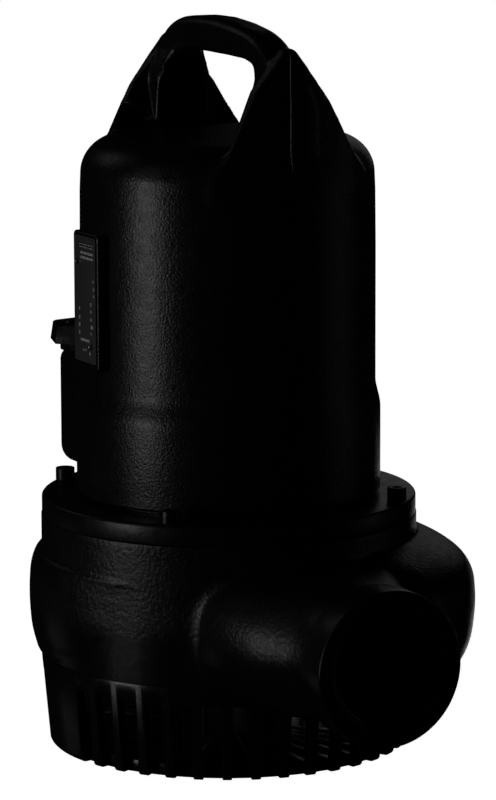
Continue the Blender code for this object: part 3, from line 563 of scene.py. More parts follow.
def pulled_onto(field, points):
    """Points moved onto the zero surface of a distance field by one step."""
    reach = 0.15 * MM
    corners = np.array([(1, 1, 1), (1, -1, -1), (-1, 1, -1), (-1, -1, 1)], float)
    gradient = np.zeros_like(points)
    middle = np.zeros(len(points))
    for corner in corners:
        value = field(points + corner * reach)
        gradient += corner * value[:, None]
        middle += value / 4
    gradient /= 4 * reach
    steepness = np.maximum((gradient**2).sum(axis=1), 0.1)
    step = -(middle / steepness)[:, None] * gradient
    length = np.linalg.norm(step, axis=1)
    limit = np.minimum(1.0, 3 * MM / np.maximum(length, 1e-9))
    return points + step * limit[:, None]


def neighbour_mean(points, edges):
    """For each point, the mean of the points that it shares an edge with."""
    count = np.bincount(edges.ravel(), minlength=len(points))
    total = np.empty_like(points)
    for axis in range(3):
        total[:, axis] = np.bincount(edges[:, 0], points[edges[:, 1], axis], len(points))
        total[:, axis] += np.bincount(edges[:, 1], points[edges[:, 0], axis], len(points))
    return total / np.maximum(count, 1)[:, None]


def cast(name, bodies, voxel, field):
    """One casting from overlapping bodies: a voxel mesh pulled onto a smooth field."""
    thing = merged(name, bodies)
    remesh = thing.modifiers.new("voxels", "REMESH")
    remesh.mode = "VOXEL"
    remesh.voxel_size = voxel
    apply_modifiers(thing)
    edges = np.empty(len(thing.data.edges) * 2, np.int32)
    thing.data.edges.foreach_get("vertices", edges)
    edges = edges.reshape(-1, 2)
    points = coordinates(thing)
    for _ in range(CAST_ROUNDS):
        points += CAST_SMOOTHING * (neighbour_mean(points, edges) - points)
        points = pulled_onto(field, points)
    points = pulled_onto(field, points)
    set_coordinates(thing, points)
    return thing


def ring_angles(steps):
    """Angles of the vertices of a ring that finishes a casting."""
    return -math.pi + 2 * math.pi * (np.arange(steps) + 0.5) / steps


def finish_turned(thing, to_axis, cut, profile, steps):
    """Cut a casting at a height of its own axis and finish it above that as a turned body.

    to_axis is the matrix that brings the axis to +Z. The profile's first point is the
    first ring over the cut, and the last one lies on the axis. A radius is a number, or
    an array with a value for each angle of the ring.
    """
    with editing(thing) as bm:
        bm.transform(to_axis)
        everything = list(bm.verts) + list(bm.edges) + list(bm.faces)
        plane = {"plane_co": (0, 0, cut), "plane_no": (0, 0, 1)}
        bmesh.ops.bisect_plane(bm, geom=everything, clear_outer=True, **plane)
        on_cut = [v for v in bm.verts if abs(v.co.z - cut) < 1e-6]
        bmesh.ops.remove_doubles(bm, verts=on_cut, dist=1e-5)
        rim = {vertex for edge in bm.edges if len(edge.link_faces) == 1 for vertex in edge.verts}
        old = sorted(rim, key=lambda vertex: math.atan2(vertex.co.y, vertex.co.x))
        angles = ring_angles(steps)
        rings = []
        for radius, height in profile[:-1]:
            across, along = radius * np.cos(angles), radius * np.sin(angles)
            rings.append([bm.verts.new((x, y, height)) for x, y in zip(across, along)])
        stitch(bm, old, rings[0])
        for lower, upper in zip(rings, rings[1:]):
            for step in range(steps):
                following = (step + 1) % steps
                bm.faces.new((lower[step], lower[following], upper[following], upper[step]))
        pole = bm.verts.new((0.0, 0.0, profile[-1][1]))
        for step in range(steps):
            bm.faces.new((rings[-1][step], rings[-1][(step + 1) % steps], pole))
        bm.transform(to_axis.inverted())
        face_outwards(bm)
    return thing


def stitch(bm, first, second):
    """Join two loops of vertices, each sorted by its angle about the Z axis, by triangles."""

    def angles(loop):
        found = [math.atan2(vertex.co.y, vertex.co.x) for vertex in loop]
        return found + [found[0] + 2 * math.pi]

    first_angles, second_angles = angles(first), angles(second)
    i = j = 0
    while i < len(first) or j < len(second):
        a, b = first[i % len(first)], second[j % len(second)]
        first_done, second_done = i >= len(first), j >= len(second)
        if second_done or (not first_done and first_angles[i + 1] <= second_angles[j + 1]):
            bm.faces.new((a, first[(i + 1) % len(first)], b))
            i += 1
        else:
            bm.faces.new((a, second[(j + 1) % len(second)], b))
            j += 1


def looked_up(table, values):
    """Values looked up in a table of pairs in millimetres, with straight lines between them."""
    table = scaled(table)
    return np.interp(values, table[:, 0], table[:, 1])


def housing_reach(height):
    """Radius of the housing's wall at a height, with the soft step low on it."""
    upper = np.interp(
        height,
        (HOUSING_STEP_TOP, HOUSING_WALL_TOP, SHOULDER_CENTRE),
        (HOUSING_MID_RADIUS, HOUSING_WALL_RADIUS, HOUSING_RADIUS),
    )
    share = np.clip((HOUSING_STEP_TOP - height) / (HOUSING_STEP_TOP - HOUSING_STEP_BOTTOM), 0, 1)
    eased = share * share * (3 - 2 * share)
    return upper + (HOUSING_FOOT_RADIUS - HOUSING_MID_RADIUS) * eased


def bell_distance(radius, height):
    """Distance to the bell of the motor: its wall, its shoulder and its slightly domed crown."""
    dome = 0.5 * CROWN_RISE * (1 + np.cos(np.pi * np.clip(radius / HOUSING_RADIUS, 0, 1)))
    crown = SHOULDER_CENTRE + SHOULDER_RADIUS + dome
    return trimmed(radius - housing_reach(height), height - crown, SHOULDER_RADIUS)


ARCH_OUTER = curve_through(scaled(ARCH_OUTER_MM), 4)
ARCH_INNER = curve_through(scaled(ARCH_INNER_MM), 4)
STEP_RINGS = [HOUSING_STEP_TOP - step * MM for step in range(21)]


def gusset_faces(points):
    """Distances to the outer and the inner face of the gussets, which sweep back from a ridge."""
    x, y, z = points.T
    aside = np.hypot(y, GUSSET_RIDGE_SOFTNESS) - 0.6 * GUSSET_RIDGE_SOFTNESS
    face = looked_up(GUSSET_FACE_MM, aside)
    slope = looked_up(GUSSET_FACE_MM, aside + 2 * MM) - face
    steep = 2 * MM / np.hypot(2 * MM, slope)
    rear = looked_up(GUSSET_BACK_MM, np.abs(y))
    thick = np.clip((GUSSET_WEB_TOP - z) / GUSSET_WEB_FADE, 0, 1) * ((x < 0) & (y < 0))
    rear += thick * (looked_up(GUSSET_WEB_MM, np.abs(y)) - rear)
    return (np.abs(x) - face) * steep, (rear - np.abs(x)) * steep


def gusset_distance(points, outer, inner):
    """Distance to the two gussets, from the distances to their faces."""
    x, y, z = points.T
    wide, narrow, far = (
        outline_distance(scaled(outline), np.abs(y), z)
        for outline in (GUSSET_WIDE_MM, GUSSET_NARROW_MM, GUSSET_FAR_MM)
    )
    front = np.where(x > 0, np.where(y < 0, narrow, wide), far)
    plate = trimmed(np.maximum(outer, inner), front, GUSSET_ROUNDING)
    side = outline_distance(scaled(GUSSET_SIDE_MM), np.abs(x), z)
    return trimmed(plate, side, GUSSET_ROUNDING)


def housing_field(points):
    """Distance to the housing with its handle."""
    field = bell_distance(np.hypot(points[:, 0], points[:, 1]), points[:, 2])
    near = points[:, 2] > HANDLE_FIELD_BOTTOM
    points = points[near]
    x, y, z = points.T
    share = np.clip((z - HANDLE_LEAN_FOOT) / (HANDLE_LEAN_TOP - HANDLE_LEAN_FOOT), 0, 1)
    lift = share * looked_up(HANDLE_LEAN_MM, x)
    up = z - lift
    inner = outline_distance(ARCH_INNER, np.abs(x), z - np.maximum(lift, 0))
    flat = trimmed(outline_distance(ARCH_OUTER, np.abs(x), up), -inner, SHARP)
    half = np.where(x < 0, looked_up(LEG_FAR_MM, up), looked_up(LEG_NEAR_MM, up))
    rounder = np.clip((up - BAR_START) / BAR_START_LENGTH, 0, 1)
    rounding = LEG_ROUNDING + (BAR_ROUNDING - LEG_ROUNDING) * rounder
    outer, inner = gusset_faces(points)
    bar = trimmed(trimmed(flat, np.abs(y) - half, rounding), outer, GUSSET_ROUNDING)
    handle = blended(bar, gusset_distance(points, outer, inner), GUSSET_FILLET)
    field[near] = blended(field[near], handle, HANDLE_FILLET)
    return field


def cad_copy(node, offset):
    """A copy of a CAD node's mesh as an object of its own, moved by an offset."""
    return place(linked(node + "_copy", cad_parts[node].data.copy()), offset)


def make_housing():
    """The housing and its handle as one casting.

    Two copies of the solid handle, one a little lower, close its gap to the bell.
    """
    crown = SHOULDER_CENTRE + SHOULDER_RADIUS
    below = CASTING_CUT - 24 * MM
    bell = [(0.0, crown + CROWN_RISE)]
    bell += arc(HOUSING_RADIUS - SHOULDER_RADIUS, SHOULDER_CENTRE, SHOULDER_RADIUS, 90, 0, 8)
    bell += [(HOUSING_RADIUS, below), (0.0, below)]
    bodies = [turned("bell", bell, 128)]
    bodies += [cad_copy("lifting_handle", (0, 0, -drop)) for drop in (0.0, 1.2 * MM)]
    housing = cast("housing_casting", bodies, HOUSING_VOXEL, housing_field)
    heights = [CASTING_CUT - 1 * MM, 340 * MM, 300 * MM, 270 * MM, HOUSING_STEP_TOP + 4 * MM]
    lip, seat, rounding = FLANGE_TOP + HOUSING_LIP, FLANGE_TOP + GAP, HOUSING_LIP_ROUNDING
    profile = [(float(housing_reach(height)), height) for height in heights + STEP_RINGS]
    profile += arc(HOUSING_FOOT_RADIUS - rounding, lip + rounding, rounding, 0, -90, 6)
    profile += [(HOUSING_SEAT_RADIUS, lip), (HOUSING_SEAT_RADIUS, seat), (0.0, seat)]
    upside_down = Matrix.Rotation(math.pi, 4, "X")
    downwards = [(radius, -height) for radius, height in profile]
    finish_turned(housing, upside_down, -CASTING_CUT, downwards, 256)
    return smooth(housing, 50)


def grown_to(angle):
    """How far the spiral has grown at an angle, from the slim section to the wide one."""
    return (SLIM_ANGLE - angle) / (SLIM_ANGLE - WIDE_ANGLE)


def volute_corners(grown):
    """Corners of the spiral's outer section for a growth, which may be an array."""
    slim = curve_through(scaled(SLIM_SECTION_MM), 4)
    wide = curve_through(scaled(WIDE_SECTION_MM), 4)
    rise = np.minimum(grown, 1.0)
    corners = []
    for (slim_r, slim_z), (wide_r, wide_z) in zip(slim, wide):
        corners.append((slim_r + (wide_r - slim_r) * grown, slim_z + (wide_z - slim_z) * rise))
    root = VOLUTE_ROOT + 0 * corners[0][0]
    return [(root, corners[0][1])] + corners + [(root, corners[-1][1])]


def spiral_growth(angle):
    """Growth of the spiral at an angle from 0 to -360, shrinking where the neck hides its end."""
    grown = grown_to(angle)
    hidden = np.clip((HIDDEN_START - angle) / HIDDEN_LENGTH, 0, 1)
    eased = hidden * hidden * (3 - 2 * hidden)
    return grown * (1 - eased) + grown_to(0) * eased


def spiral_body(name, section_at, start, end, stations):
    """A closed body swept round the motor axis through sections at even angles."""
    sections = []
    for station in range(stations + 1):
        angle = start + (end - start) * station / stations
        sections.append([polar(radius, angle, height) for radius, height in section_at(angle)])
    return lofted(name, sections)


# Sections of the neck: distance along X, half width, half height, mid height and power
NECK_STATIONS = np.array((
    (60, 78, 46, 97, 3.2),
    (110, 74, 47, 96.5, 3.0),
    (135, 70, 47.5, 95.5, 2.7),
    (155, 64, 47.5, 95, 2.4),
    (175, 55, 47, 95, 2.15),
    (190, 49, 46.4, 95, 2.0),
    (203, 46, 46, 95, 2.0),
    (216, 46, 46, 95, 2.0),
), float)
NECK_CURVE = curve_through(NECK_STATIONS, 6)


def neck_distance(points):
    """Distance to the neck of the discharge, whose section changes along X."""
    x, y, z = points.T / MM
    stations, *rows = NECK_CURVE.T
    half_y, half_z, middle, power = (np.interp(x, stations, row) for row in rows)
    across = np.maximum(np.abs(y) / half_y, 1e-6)
    up = np.maximum(np.abs(z - middle) / half_z, 1e-6)
    size = (across**power + up**power) ** (1 / power)
    side = (size - 1) * np.minimum(half_y, half_z)
    return np.maximum(side, x - NECK_STATIONS[-1][0]) * MM


def casing_field(points):
    """Distance to the outside of the volute casing."""
    x, y, z = points.T
    radius = np.hypot(x, y)
    angle = np.degrees(np.arctan2(y, x))
    angle = np.where(angle > 0, angle - 360, angle)
    grown = spiral_growth(angle)
    ring = np.maximum(radius - CASING_RADIUS, np.abs(z - RING_MIDDLE) - RING_HALF_HEIGHT)
    corners = volute_corners(grown)
    shell = outline_distance(corners + corners[:1], radius, z)
    reach = SLIM_REACH + (WIDE_REACH - SLIM_REACH) * grown
    fillet = RING_FILLET * np.clip((reach - CASING_RADIUS) / RING_FILLET_REACH, 0, 1)
    return blended(blended(ring, shell, fillet), neck_distance(points), NECK_FILLET)


def neck_body():
    """The neck as a rough body for the casting."""
    sections, count = [], 48
    for x, half_y, half_z, middle, power in NECK_STATIONS:
        section = []
        for step in range(count):
            angle = 2 * math.pi * step / count
            cosine, sine = math.cos(angle), math.sin(angle)
            y = math.copysign(abs(cosine) ** (2 / power), cosine) * half_y
            z = math.copysign(abs(sine) ** (2 / power), sine) * half_z
            section.append((x * MM, y * MM, (middle + z) * MM))
        sections.append(section)
    return lofted("neck", sections)


def thread_radii(depth, angles):
    """Radii of a turn of the threaded mouth at a depth behind its face."""
    turn = (depth / THREAD_PITCH + angles / (2 * math.pi)) % 1.0
    ridge = np.clip(1 - np.abs(2 * turn - 1) * 1.25, 0, 0.9)
    fade = min(1.0, (depth - 1 * MM) / (1.5 * MM), (THREAD_DEPTH - depth) / (2 * MM))
    return THREAD_ROOT - ridge * (THREAD_ROOT - THREAD_CREST) * max(fade, 0.0)


def port_profile(angles):
    """Section of the hub, its face, the thread and the bore, as (radius, distance) points."""
    edge, rounding = HUB_EDGE, PORT_ROUNDING
    profile = [(PORT_NECK_RADIUS, PORT_CUT + 0.8 * MM)]
    profile += arc(PORT_NECK_RADIUS + edge, HUB_BACK - edge, edge, 180, 90, 4)
    profile += arc(PORT_RADIUS - edge, HUB_BACK + edge, edge, -90, 0, 4)
    profile += arc(PORT_RADIUS - rounding, PORT_FACE - rounding, rounding, 0, 90, 5)
    profile.append((THREAD_ROOT + THREAD_CHAMFER, PORT_FACE))
    profile.append((THREAD_ROOT + 2 * MM, PORT_FACE - 0.3 * MM))
    for station in range(int(THREAD_STEPS * (THREAD_DEPTH - THREAD_CHAMFER) / THREAD_PITCH)):
        depth = THREAD_CHAMFER + station * THREAD_PITCH / THREAD_STEPS
        profile.append((thread_radii(depth, angles), PORT_FACE - depth))
    end = profile[-1][1]
    profile += [(BORE_RADIUS + 0.4 * MM, end - 2 * MM), (BORE_RADIUS, end - 3 * MM)]
    profile += [(BORE_RADIUS, BORE_END), (0.0, BORE_END)]
    return profile


def along_x(height):
    """The matrix that turns +Z to +X and lifts to a height."""
    return Matrix.Translation((0, 0, height)) @ Matrix.Rotation(math.pi / 2, 4, "Y")


def volute_section(angle):
    """The closed section of the spiral's outside at an angle."""
    return volute_corners(float(spiral_growth(angle)))


def make_casing():
    """The volute casing as one casting, with its discharge and its water passage."""
    low, high = RING_MIDDLE - RING_HALF_HEIGHT, RING_MIDDLE + RING_HALF_HEIGHT
    bodies = [cylinder("ring", CASING_RADIUS, low, high, 96)]
    bodies += [spiral_body("spiral", volute_section, *SPIRAL_ANGLES, 120), neck_body()]
    casing = cast("volute_casting", bodies, CASING_VOXEL, casing_field)
    seat = FLANGE_BOTTOM - GAP
    top = [(CASING_RADIUS, CASING_CUT + 1 * MM)]
    top += arc(CASING_RADIUS - FINE_EDGE, seat - FINE_EDGE, FINE_EDGE, 0, 90, 3)
    top += [(100 * MM, seat), (0.0, seat)]
    finish_turned(casing, Matrix.Identity(4), CASING_CUT, top, 256)
    port = port_profile(ring_angles(PORT_STEPS))
    finish_turned(casing, along_x(PORT_MID).inverted(), PORT_CUT, port, PORT_STEPS)
    tools = [
        cylinder("clearance", STRAINER_RADIUS + GAP, 0, STRAINER_TOP + GAP, 256),
        cylinder("chamber", CHAMBER_RADIUS, 0, 1, 128),
        spiral_body("passage", passage_section, *PASSAGE_ANGLES, 64),
        cylinder("throat", THROAT_RADIUS, THROAT_START, THROAT_END, 64),
    ]
    tools[-1].data.transform(along_x(THROAT_MID))
    for tool in tools:
        combine(casing, tool, "DIFFERENCE")
    return smooth(casing, 42)


def passage_section(angle):
    """The closed section of the water passage inside the spiral at an angle."""
    reach = SLIM_REACH + (WIDE_REACH - SLIM_REACH) * grown_to(angle) - CASING_WALL
    corner = min(PASSAGE_CORNER, reach - PASSAGE_ROOT - 1 * MM)
    top = arc(reach - corner, PASSAGE_TOP - corner, corner, 90, 0, 6)
    bottom = arc(reach - corner, PASSAGE_BOTTOM + corner, corner, 0, -90, 6)
    return [(PASSAGE_ROOT, PASSAGE_TOP)] + top + bottom + [(PASSAGE_ROOT, PASSAGE_BOTTOM)]


def make_flange():
    """The wide flange under the motor, with the spigot in the casing and the shaft's bore."""
    rim = FLANGE_RADIUS - FLANGE_ROUNDING
    profile = [(0.0, FLANGE_TOP), (104.5 * MM, FLANGE_TOP)]
    profile += arc(rim, FLANGE_TOP - FLANGE_ROUNDING, FLANGE_ROUNDING, 90, 0, 6)
    profile += arc(FLANGE_RADIUS - FINE_EDGE, FLANGE_BOTTOM + FINE_EDGE, FINE_EDGE, 0, -90, 3)
    profile += [(SPIGOT_RADIUS, FLANGE_BOTTOM), (SPIGOT_RADIUS, SPIGOT_BOTTOM)]
    profile.append((0.0, SPIGOT_BOTTOM))
    flange = turned("flange_casting", profile, 256)
    combine(flange, cylinder("bore", SHAFT_BORE_RADIUS, 0, SHAFT_BORE_TOP, 48), "DIFFERENCE")
    for angle in BOLT_ANGLES:
        hole = cylinder("hole", BOLT_RADIUS + GAP, 150 * MM, 180 * MM, 32)
        combine(flange, place(hole, polar(BOLT_CIRCLE, angle, 0)), "DIFFERENCE")
    return smooth(flange, 40)


def socket_screw(name, head_height, shank, socket_depth):
    """A socket head screw that stands on z = 0."""
    edge, chamfer = 0.7 * MM, 0.15 * MM
    profile = [(0.0, head_height)]
    profile += arc(CAP_RADIUS - edge, head_height - edge, edge, 90, 0, 3)
    profile += [(CAP_RADIUS, chamfer), (CAP_RADIUS - chamfer, 0.0), (BOLT_RADIUS, 0.0)]
    profile += [(BOLT_RADIUS, -shank), (0.0, -shank)]
    screw = turned(name, profile, 48)
    socket = turned("socket", [
        (0.0, head_height + 1 * MM),
        (SOCKET_RADIUS + 1 * MM, head_height + 1 * MM),
        (SOCKET_RADIUS, head_height - 0.2 * MM),
        (SOCKET_RADIUS, head_height - socket_depth),
        (0.0, head_height - socket_depth - 0.8 * MM),
    ], 6)
    return combine(screw, socket, "DIFFERENCE")


def make_flange_screws():
    """The four socket head screws on the flange."""
    screws = []
    for index, angle in enumerate(BOLT_ANGLES, start=1):
        screw = socket_screw(f"flange_bolt_{index}", CAP_HEIGHT, BOLT_DEPTH, 4 * MM)
        place(screw, polar(BOLT_CIRCLE, angle, FLANGE_TOP + GAP), (0, 0, angle + 17 * index))
        screws.append((smooth(screw, 35), f"flange_screw_{index}"))
    return screws


def make_strainer_screws():
    """The four screws that hold the strainer from below."""
    screws = []
    for index, angle in enumerate(BOLT_ANGLES, start=1):
        screw = socket_screw(f"strainer_bolt_{index}", 5 * MM, STRAINER_SCREW_LENGTH, 3 * MM)
        place(screw, (0, 0, 0), (180, 0, 0))
        place(screw, polar(POST_CIRCLE, angle, STRAINER_SCREW_SEAT), (0, 0, angle))
        screws.append((smooth(screw, 35), f"strainer_screw_{index}"))
    return screws


def make_strainer():
    """The slotted basket with rounded slot edges."""
    outer = STRAINER_BASE_RADIUS
    profile = [
        (0.0, STRAINER_FLOOR),
        (outer - STRAINER_WALL, STRAINER_FLOOR),
        (STRAINER_RADIUS - STRAINER_WALL, STRAINER_TOP),
        (STRAINER_RADIUS, STRAINER_TOP),
    ]
    profile += arc(outer - STRAINER_EDGE, STRAINER_EDGE, STRAINER_EDGE, 0, -90, 5)
    profile.append((0.0, 0.0))
    strainer = turned("strainer_casting", profile, 240, start=0.75)
    for angle in BOLT_ANGLES:
        post = cylinder("post", POST_RADIUS, STRAINER_SCREW_SEAT, STRAINER_TOP, 48)
        combine(strainer, place(post, polar(POST_CIRCLE, angle, 0)), "UNION")
    half_panel = SLOT_PITCH * PANEL_SLOTS / 2
    low, high = (SLOT_START, -SLOT_WIDTH / 2, -1 * MM), (SLOT_END, SLOT_WIDTH / 2, SLOT_TOP)
    for index in range(360 // SLOT_PITCH):
        angle = -180 + SLOT_PITCH * (index + 0.5)
        if abs(angle - PANEL_MIDDLE) > half_panel:
            slot = place(box("slot", low, high), (0, 0, 0), (0, 0, angle))
            combine(strainer, slot, "DIFFERENCE")
    bevel(strainer, 0.7 * MM, 2, 42)
    bore, sink, seat = BOLT_RADIUS + GAP, CAP_RADIUS + GAP, STRAINER_SCREW_SEAT + GAP
    for angle in BOLT_ANGLES:
        hole = turned("hole", [
            (0.0, STRAINER_TOP + 1 * MM),
            (bore, STRAINER_TOP + 1 * MM),
            (bore, seat),
            (sink, seat),
            (sink, -1 * MM),
            (0.0, -1 * MM),
        ], 48)
        combine(strainer, place(hole, polar(POST_CIRCLE, angle, 0)), "DIFFERENCE")
    return smooth(strainer, 35)


def make_pad():
    """The cast pad for the rating plate, with rounded edges."""
    low = (PAD_X - PAD_HALF_WIDTH, -PAD_FACE, PAD_BOTTOM)
    high = (PAD_X + PAD_HALF_WIDTH, -96 * MM, PAD_TOP)
    return faced_box("plate_pad", low, high, 1, (3 * MM, 5), (PAD_ROUNDING, 5))


def make_plate():
    """The sheet of the rating plate."""
    back = -PAD_FACE - GAP
    low = (PLATE_X - PLATE_WIDTH / 2, back - PLATE_THICKNESS, PLATE_Z - PLATE_HEIGHT / 2)
    high = (PLATE_X + PLATE_WIDTH / 2, back, PLATE_Z + PLATE_HEIGHT / 2)
    return faced_box("plate_sheet", low, high, 1, (1.5 * MM, 4), (0.15 * MM, 2))


def make_rivets():
    """The two rivets of the rating plate."""
    rivets = []
    front = -PAD_FACE - PLATE_THICKNESS - 2 * GAP
    profile = [(radius * RIVET_RADIUS, height * RIVET_HEIGHT) for radius, height in RIVET_PROFILE]
    for name, node, side in (("top", "upper", 1), ("bottom", "lower", -1)):
        rivet = turned("rivet_" + name, profile, 32)
        across, up = RIVET_MIDDLE_X - side * RIVET_X, RIVET_MIDDLE_Z + side * RIVET_Z
        place(rivet, (across, front, up), (90, 0, 0))
        rivets.append((smooth(rivet, 40), "plate_rivet_" + node))
    return rivets


def make_entry_box():
    """The cast box for the cables, with a large rounding at its foot."""
    top, foot = BOX_TOP_ROUNDING, BOX_FOOT_ROUNDING
    half = arc(BOX_HALF_WIDTH - top, BOX_TOP - top, top, 90, 0, 9)
    half += arc(BOX_HALF_WIDTH - foot, BOX_BOTTOM + foot, foot, 0, -90, 9)
    outline = half + [(-y, z) for y, z in reversed(half)]
    ends = (-BOX_REACH + COVER_THICKNESS + GAP, -BOX_ROOT)
    entry = lofted("entry_box_casting", [[(x, y, z) for y, z in outline] for x in ends])
    bevel(entry, BOX_EDGE, 4, 60)
    heights = [BOX_TOP + 5 * MM] + STEP_RINGS
    profile = [(0.0, heights[0])] + [(float(housing_reach(h)) + GAP, h) for h in heights]
    profile += [(HOUSING_FOOT_RADIUS + GAP, FLANGE_TOP), (0.0, FLANGE_TOP)]
    combine(entry, turned("bell", profile, 256), "DIFFERENCE")
    return smooth(entry, 40)


def make_cover():
    """The flat cover on the box."""
    half = BOX_HALF_WIDTH - COVER_MARGIN
    low = (-BOX_REACH, -half, BOX_BOTTOM + COVER_MARGIN)
    high = (-BOX_REACH + COVER_THICKNESS, half, BOX_TOP - COVER_MARGIN)
    return faced_box("entry_cover_plate", low, high, 0, (6 * MM, 6), (1.2 * MM, 4))


def make_cover_screws():
    """The four screws of the cover."""
    screws = []
    inset = COVER_MARGIN + COVER_SCREW_INSET
    middle = (BOX_TOP + BOX_BOTTOM) / 2
    radius, height, edge = COVER_SCREW_RADIUS, COVER_SCREW_HEIGHT, 0.8 * MM
    head = [(0.0, height)] + arc(radius - edge, height - edge, edge, 90, 0, 3)
    head += [(radius, 0.0), (0.0, 0.0)]
    above, across = height + 1 * MM, COVER_SCREW_SOCKET
    hollow = [(0, above), (across, above), (across, 1 * MM), (0, 0.6 * MM)]
    for index, (side, up) in enumerate(((-1, 1), (1, 1), (1, -1), (-1, -1)), start=1):
        screw = turned(f"cover_bolt_{index}", head, 40)
        combine(screw, turned("socket", hollow, 6), "DIFFERENCE")
        y = side * (BOX_HALF_WIDTH - inset)
        z = middle + up * ((BOX_TOP - BOX_BOTTOM) / 2 - inset)
        place(screw, (0, 0, 0), (0, 0, 13 * index))
        place(screw, (-BOX_REACH - GAP, y, z), (0, -90, 0))
        screws.append((smooth(screw, 35), f"cover_screw_{index}"))
    return screws


def gland_nut(name):
    """A hexagonal gland nut on its round neck, with the bore for the seal."""
    top, foot = GLAND_NUT_TOP, GLAND_NUT_BOTTOM
    corner, wide = GLAND_TOP_CORNER, GLAND_FOOT_CORNER
    nut = turned(name, [(0.0, top), (corner, top), (wide, foot), (0.0, foot)], 6)
    limit = turned("chamfer", [
        (0.0, top), (corner - 1.5 * MM, top), (wide + 1 * MM, top - 2 * MM),
        (wide + 1 * MM, foot - 1 * MM), (0.0, foot - 1 * MM),
    ], 96)
    combine(nut, limit, "INTERSECT")
    combine(nut, cylinder("neck", GLAND_NECK_RADIUS, BOX_TOP + GAP, foot + 1 * MM, 64), "UNION")
    bore = turned("bore", [
        (0.0, top + 1 * MM), (GLAND_BORE_RADIUS + 2 * MM, top + 1 * MM),
        (GLAND_BORE_RADIUS, top - 1 * MM), (GLAND_BORE_RADIUS, GLAND_FLOOR), (0.0, GLAND_FLOOR),
    ], 64)
    combine(nut, bore, "DIFFERENCE")
    return bevel(nut, 0.35 * MM, 2, 25)


def gland_seal(name):
    """The rubber ring in a gland, with rounded upper edges."""
    outer, inner = GLAND_BORE_RADIUS - GAP, SEAL_BORE_RADIUS
    top, bottom = GLAND_NUT_TOP - 2 * MM, GLAND_FLOOR + GAP
    edge, lip = 0.8 * MM, 1.5 * MM
    ring = arc(outer - edge, top - edge, edge, 90, 0, 4) + [(outer, bottom), (inner, bottom)]
    ring += arc(inner + lip, top - lip, lip, 180, 90, 5)
    return turned(name, ring, 64, closed=True)


def make_glands():
    """The two hexagonal glands with their seals."""
    pieces = []
    for name, side in (("power", -1), ("control", 1)):
        node = name + "_cable_gland"
        nut, seal = gland_nut(name + "_gland_nut"), gland_seal(name + "_seal_ring")
        for piece, source in ((nut, node), (seal, node + "_seal")):
            place(piece, (GLAND_X, side * GLAND_Y, 0), (0, 0, -side * GLAND_TURN))
            pieces.append((smooth(piece, 30), source))
    return pieces


class Surface:
    """A procedural material, made from nodes that read the shape's own coordinates."""

    def __init__(self, name, colour, roughness, metallic=0.0):
        self.material = bpy.data.materials.new(name)
        self.material.use_nodes = True
        self.tree = self.material.node_tree
        self.shader = self.tree.nodes["Principled BSDF"]
        self.shader.inputs["Base Color"].default_value = (*colour, 1)
        self.shader.inputs["Roughness"].default_value = roughness
        self.shader.inputs["Metallic"].default_value = metallic
        self.place = self.tree.nodes.new("ShaderNodeTexCoord").outputs["Object"]

    def node(self, kind, inputs, **settings):
        """A node with its settings, whose inputs are numbers or other nodes' outputs."""
        node = self.tree.nodes.new(kind)
        for name, value in settings.items():
            setattr(node, name, value)
        for name, value in inputs.items():
            if isinstance(value, bpy.types.NodeSocket):
                self.tree.links.new(value, node.inputs[name])
            else:
                node.inputs[name].default_value = value
        return node

    def noise(self, grain, detail=2.0, place=None):
        """Noise from 0 to 1 whose lumps are about one grain across."""
        inputs = {"Vector": place or self.place, "Scale": 1 / grain, "Detail": detail}
        return self.node("ShaderNodeTexNoise", inputs).outputs["Fac"]

    def between(self, value, low, high, start=0.0, end=1.0):
        """A value's range turned smoothly into another range."""
        inputs = {"Value": value, "From Min": low, "From Max": high, "To Min": start, "To Max": end}
        node = self.node("ShaderNodeMapRange", inputs, interpolation_type="SMOOTHSTEP")
        return node.outputs["Result"]

    def product(self, first, second):
        """Two values multiplied."""
        return self.node("ShaderNodeMath", {0: first, 1: second}, operation="MULTIPLY").outputs[0]

    def axis(self, name):
        """One coordinate of the shape."""
        return self.node("ShaderNodeSeparateXYZ", {"Vector": self.place}).outputs[name]

    def size_of_axis(self, name):
        """One coordinate of the shape without its sign."""
        return self.node("ShaderNodeMath", {0: self.axis(name)}, operation="ABSOLUTE").outputs[0]

    def colour(self, share, first, second):
        """The base colour, mixed from two by a share."""
        inputs = {"Factor": share, "A": (*first, 1), "B": (*second, 1)}
        mix = self.node("ShaderNodeMix", inputs, data_type="RGBA")
        self.tree.links.new(mix.outputs["Result"], self.shader.inputs["Base Color"])

    def roughness(self, value):
        """The roughness, from a value of 0 to 1."""
        self.tree.links.new(value, self.shader.inputs["Roughness"])

    def patches(self, grain, detail, low, high):
        """A value that changes between two others in patches."""
        return self.between(self.noise(grain, detail), 0.2, 0.8, low, high)

    def bump(self, height, depth):
        """Bumps whose height from 0 to 1 is as deep as given."""
        inputs = {"Height": height, "Distance": depth, "Strength": 1.0}
        if self.shader.inputs["Normal"].links:
            inputs["Normal"] = self.shader.inputs["Normal"].links[0].from_socket
        bump = self.node("ShaderNodeBump", inputs)
        self.tree.links.new(bump.outputs["Normal"], self.shader.inputs["Normal"])


def black_paint(name, peel, sand, gloss):
    """Black epoxy on a casting: orange peel over the skin that the sand mould left.

    Peel and sand are each a grain and a depth, and gloss is the range of the roughness.
    """
    surface = Surface(name, PAINT_BLACK, gloss[0])
    dust = surface.between(surface.noise(40 * MM, 4.0), 0.45, 0.8)
    surface.colour(dust, PAINT_BLACK, PAINT_WORN)
    surface.roughness(surface.patches(6 * MM, 5.0, *gloss))
    surface.bump(surface.noise(sand[0], 3.0), sand[1])
    surface.bump(surface.noise(peel[0], 1.0), peel[1])
    return surface


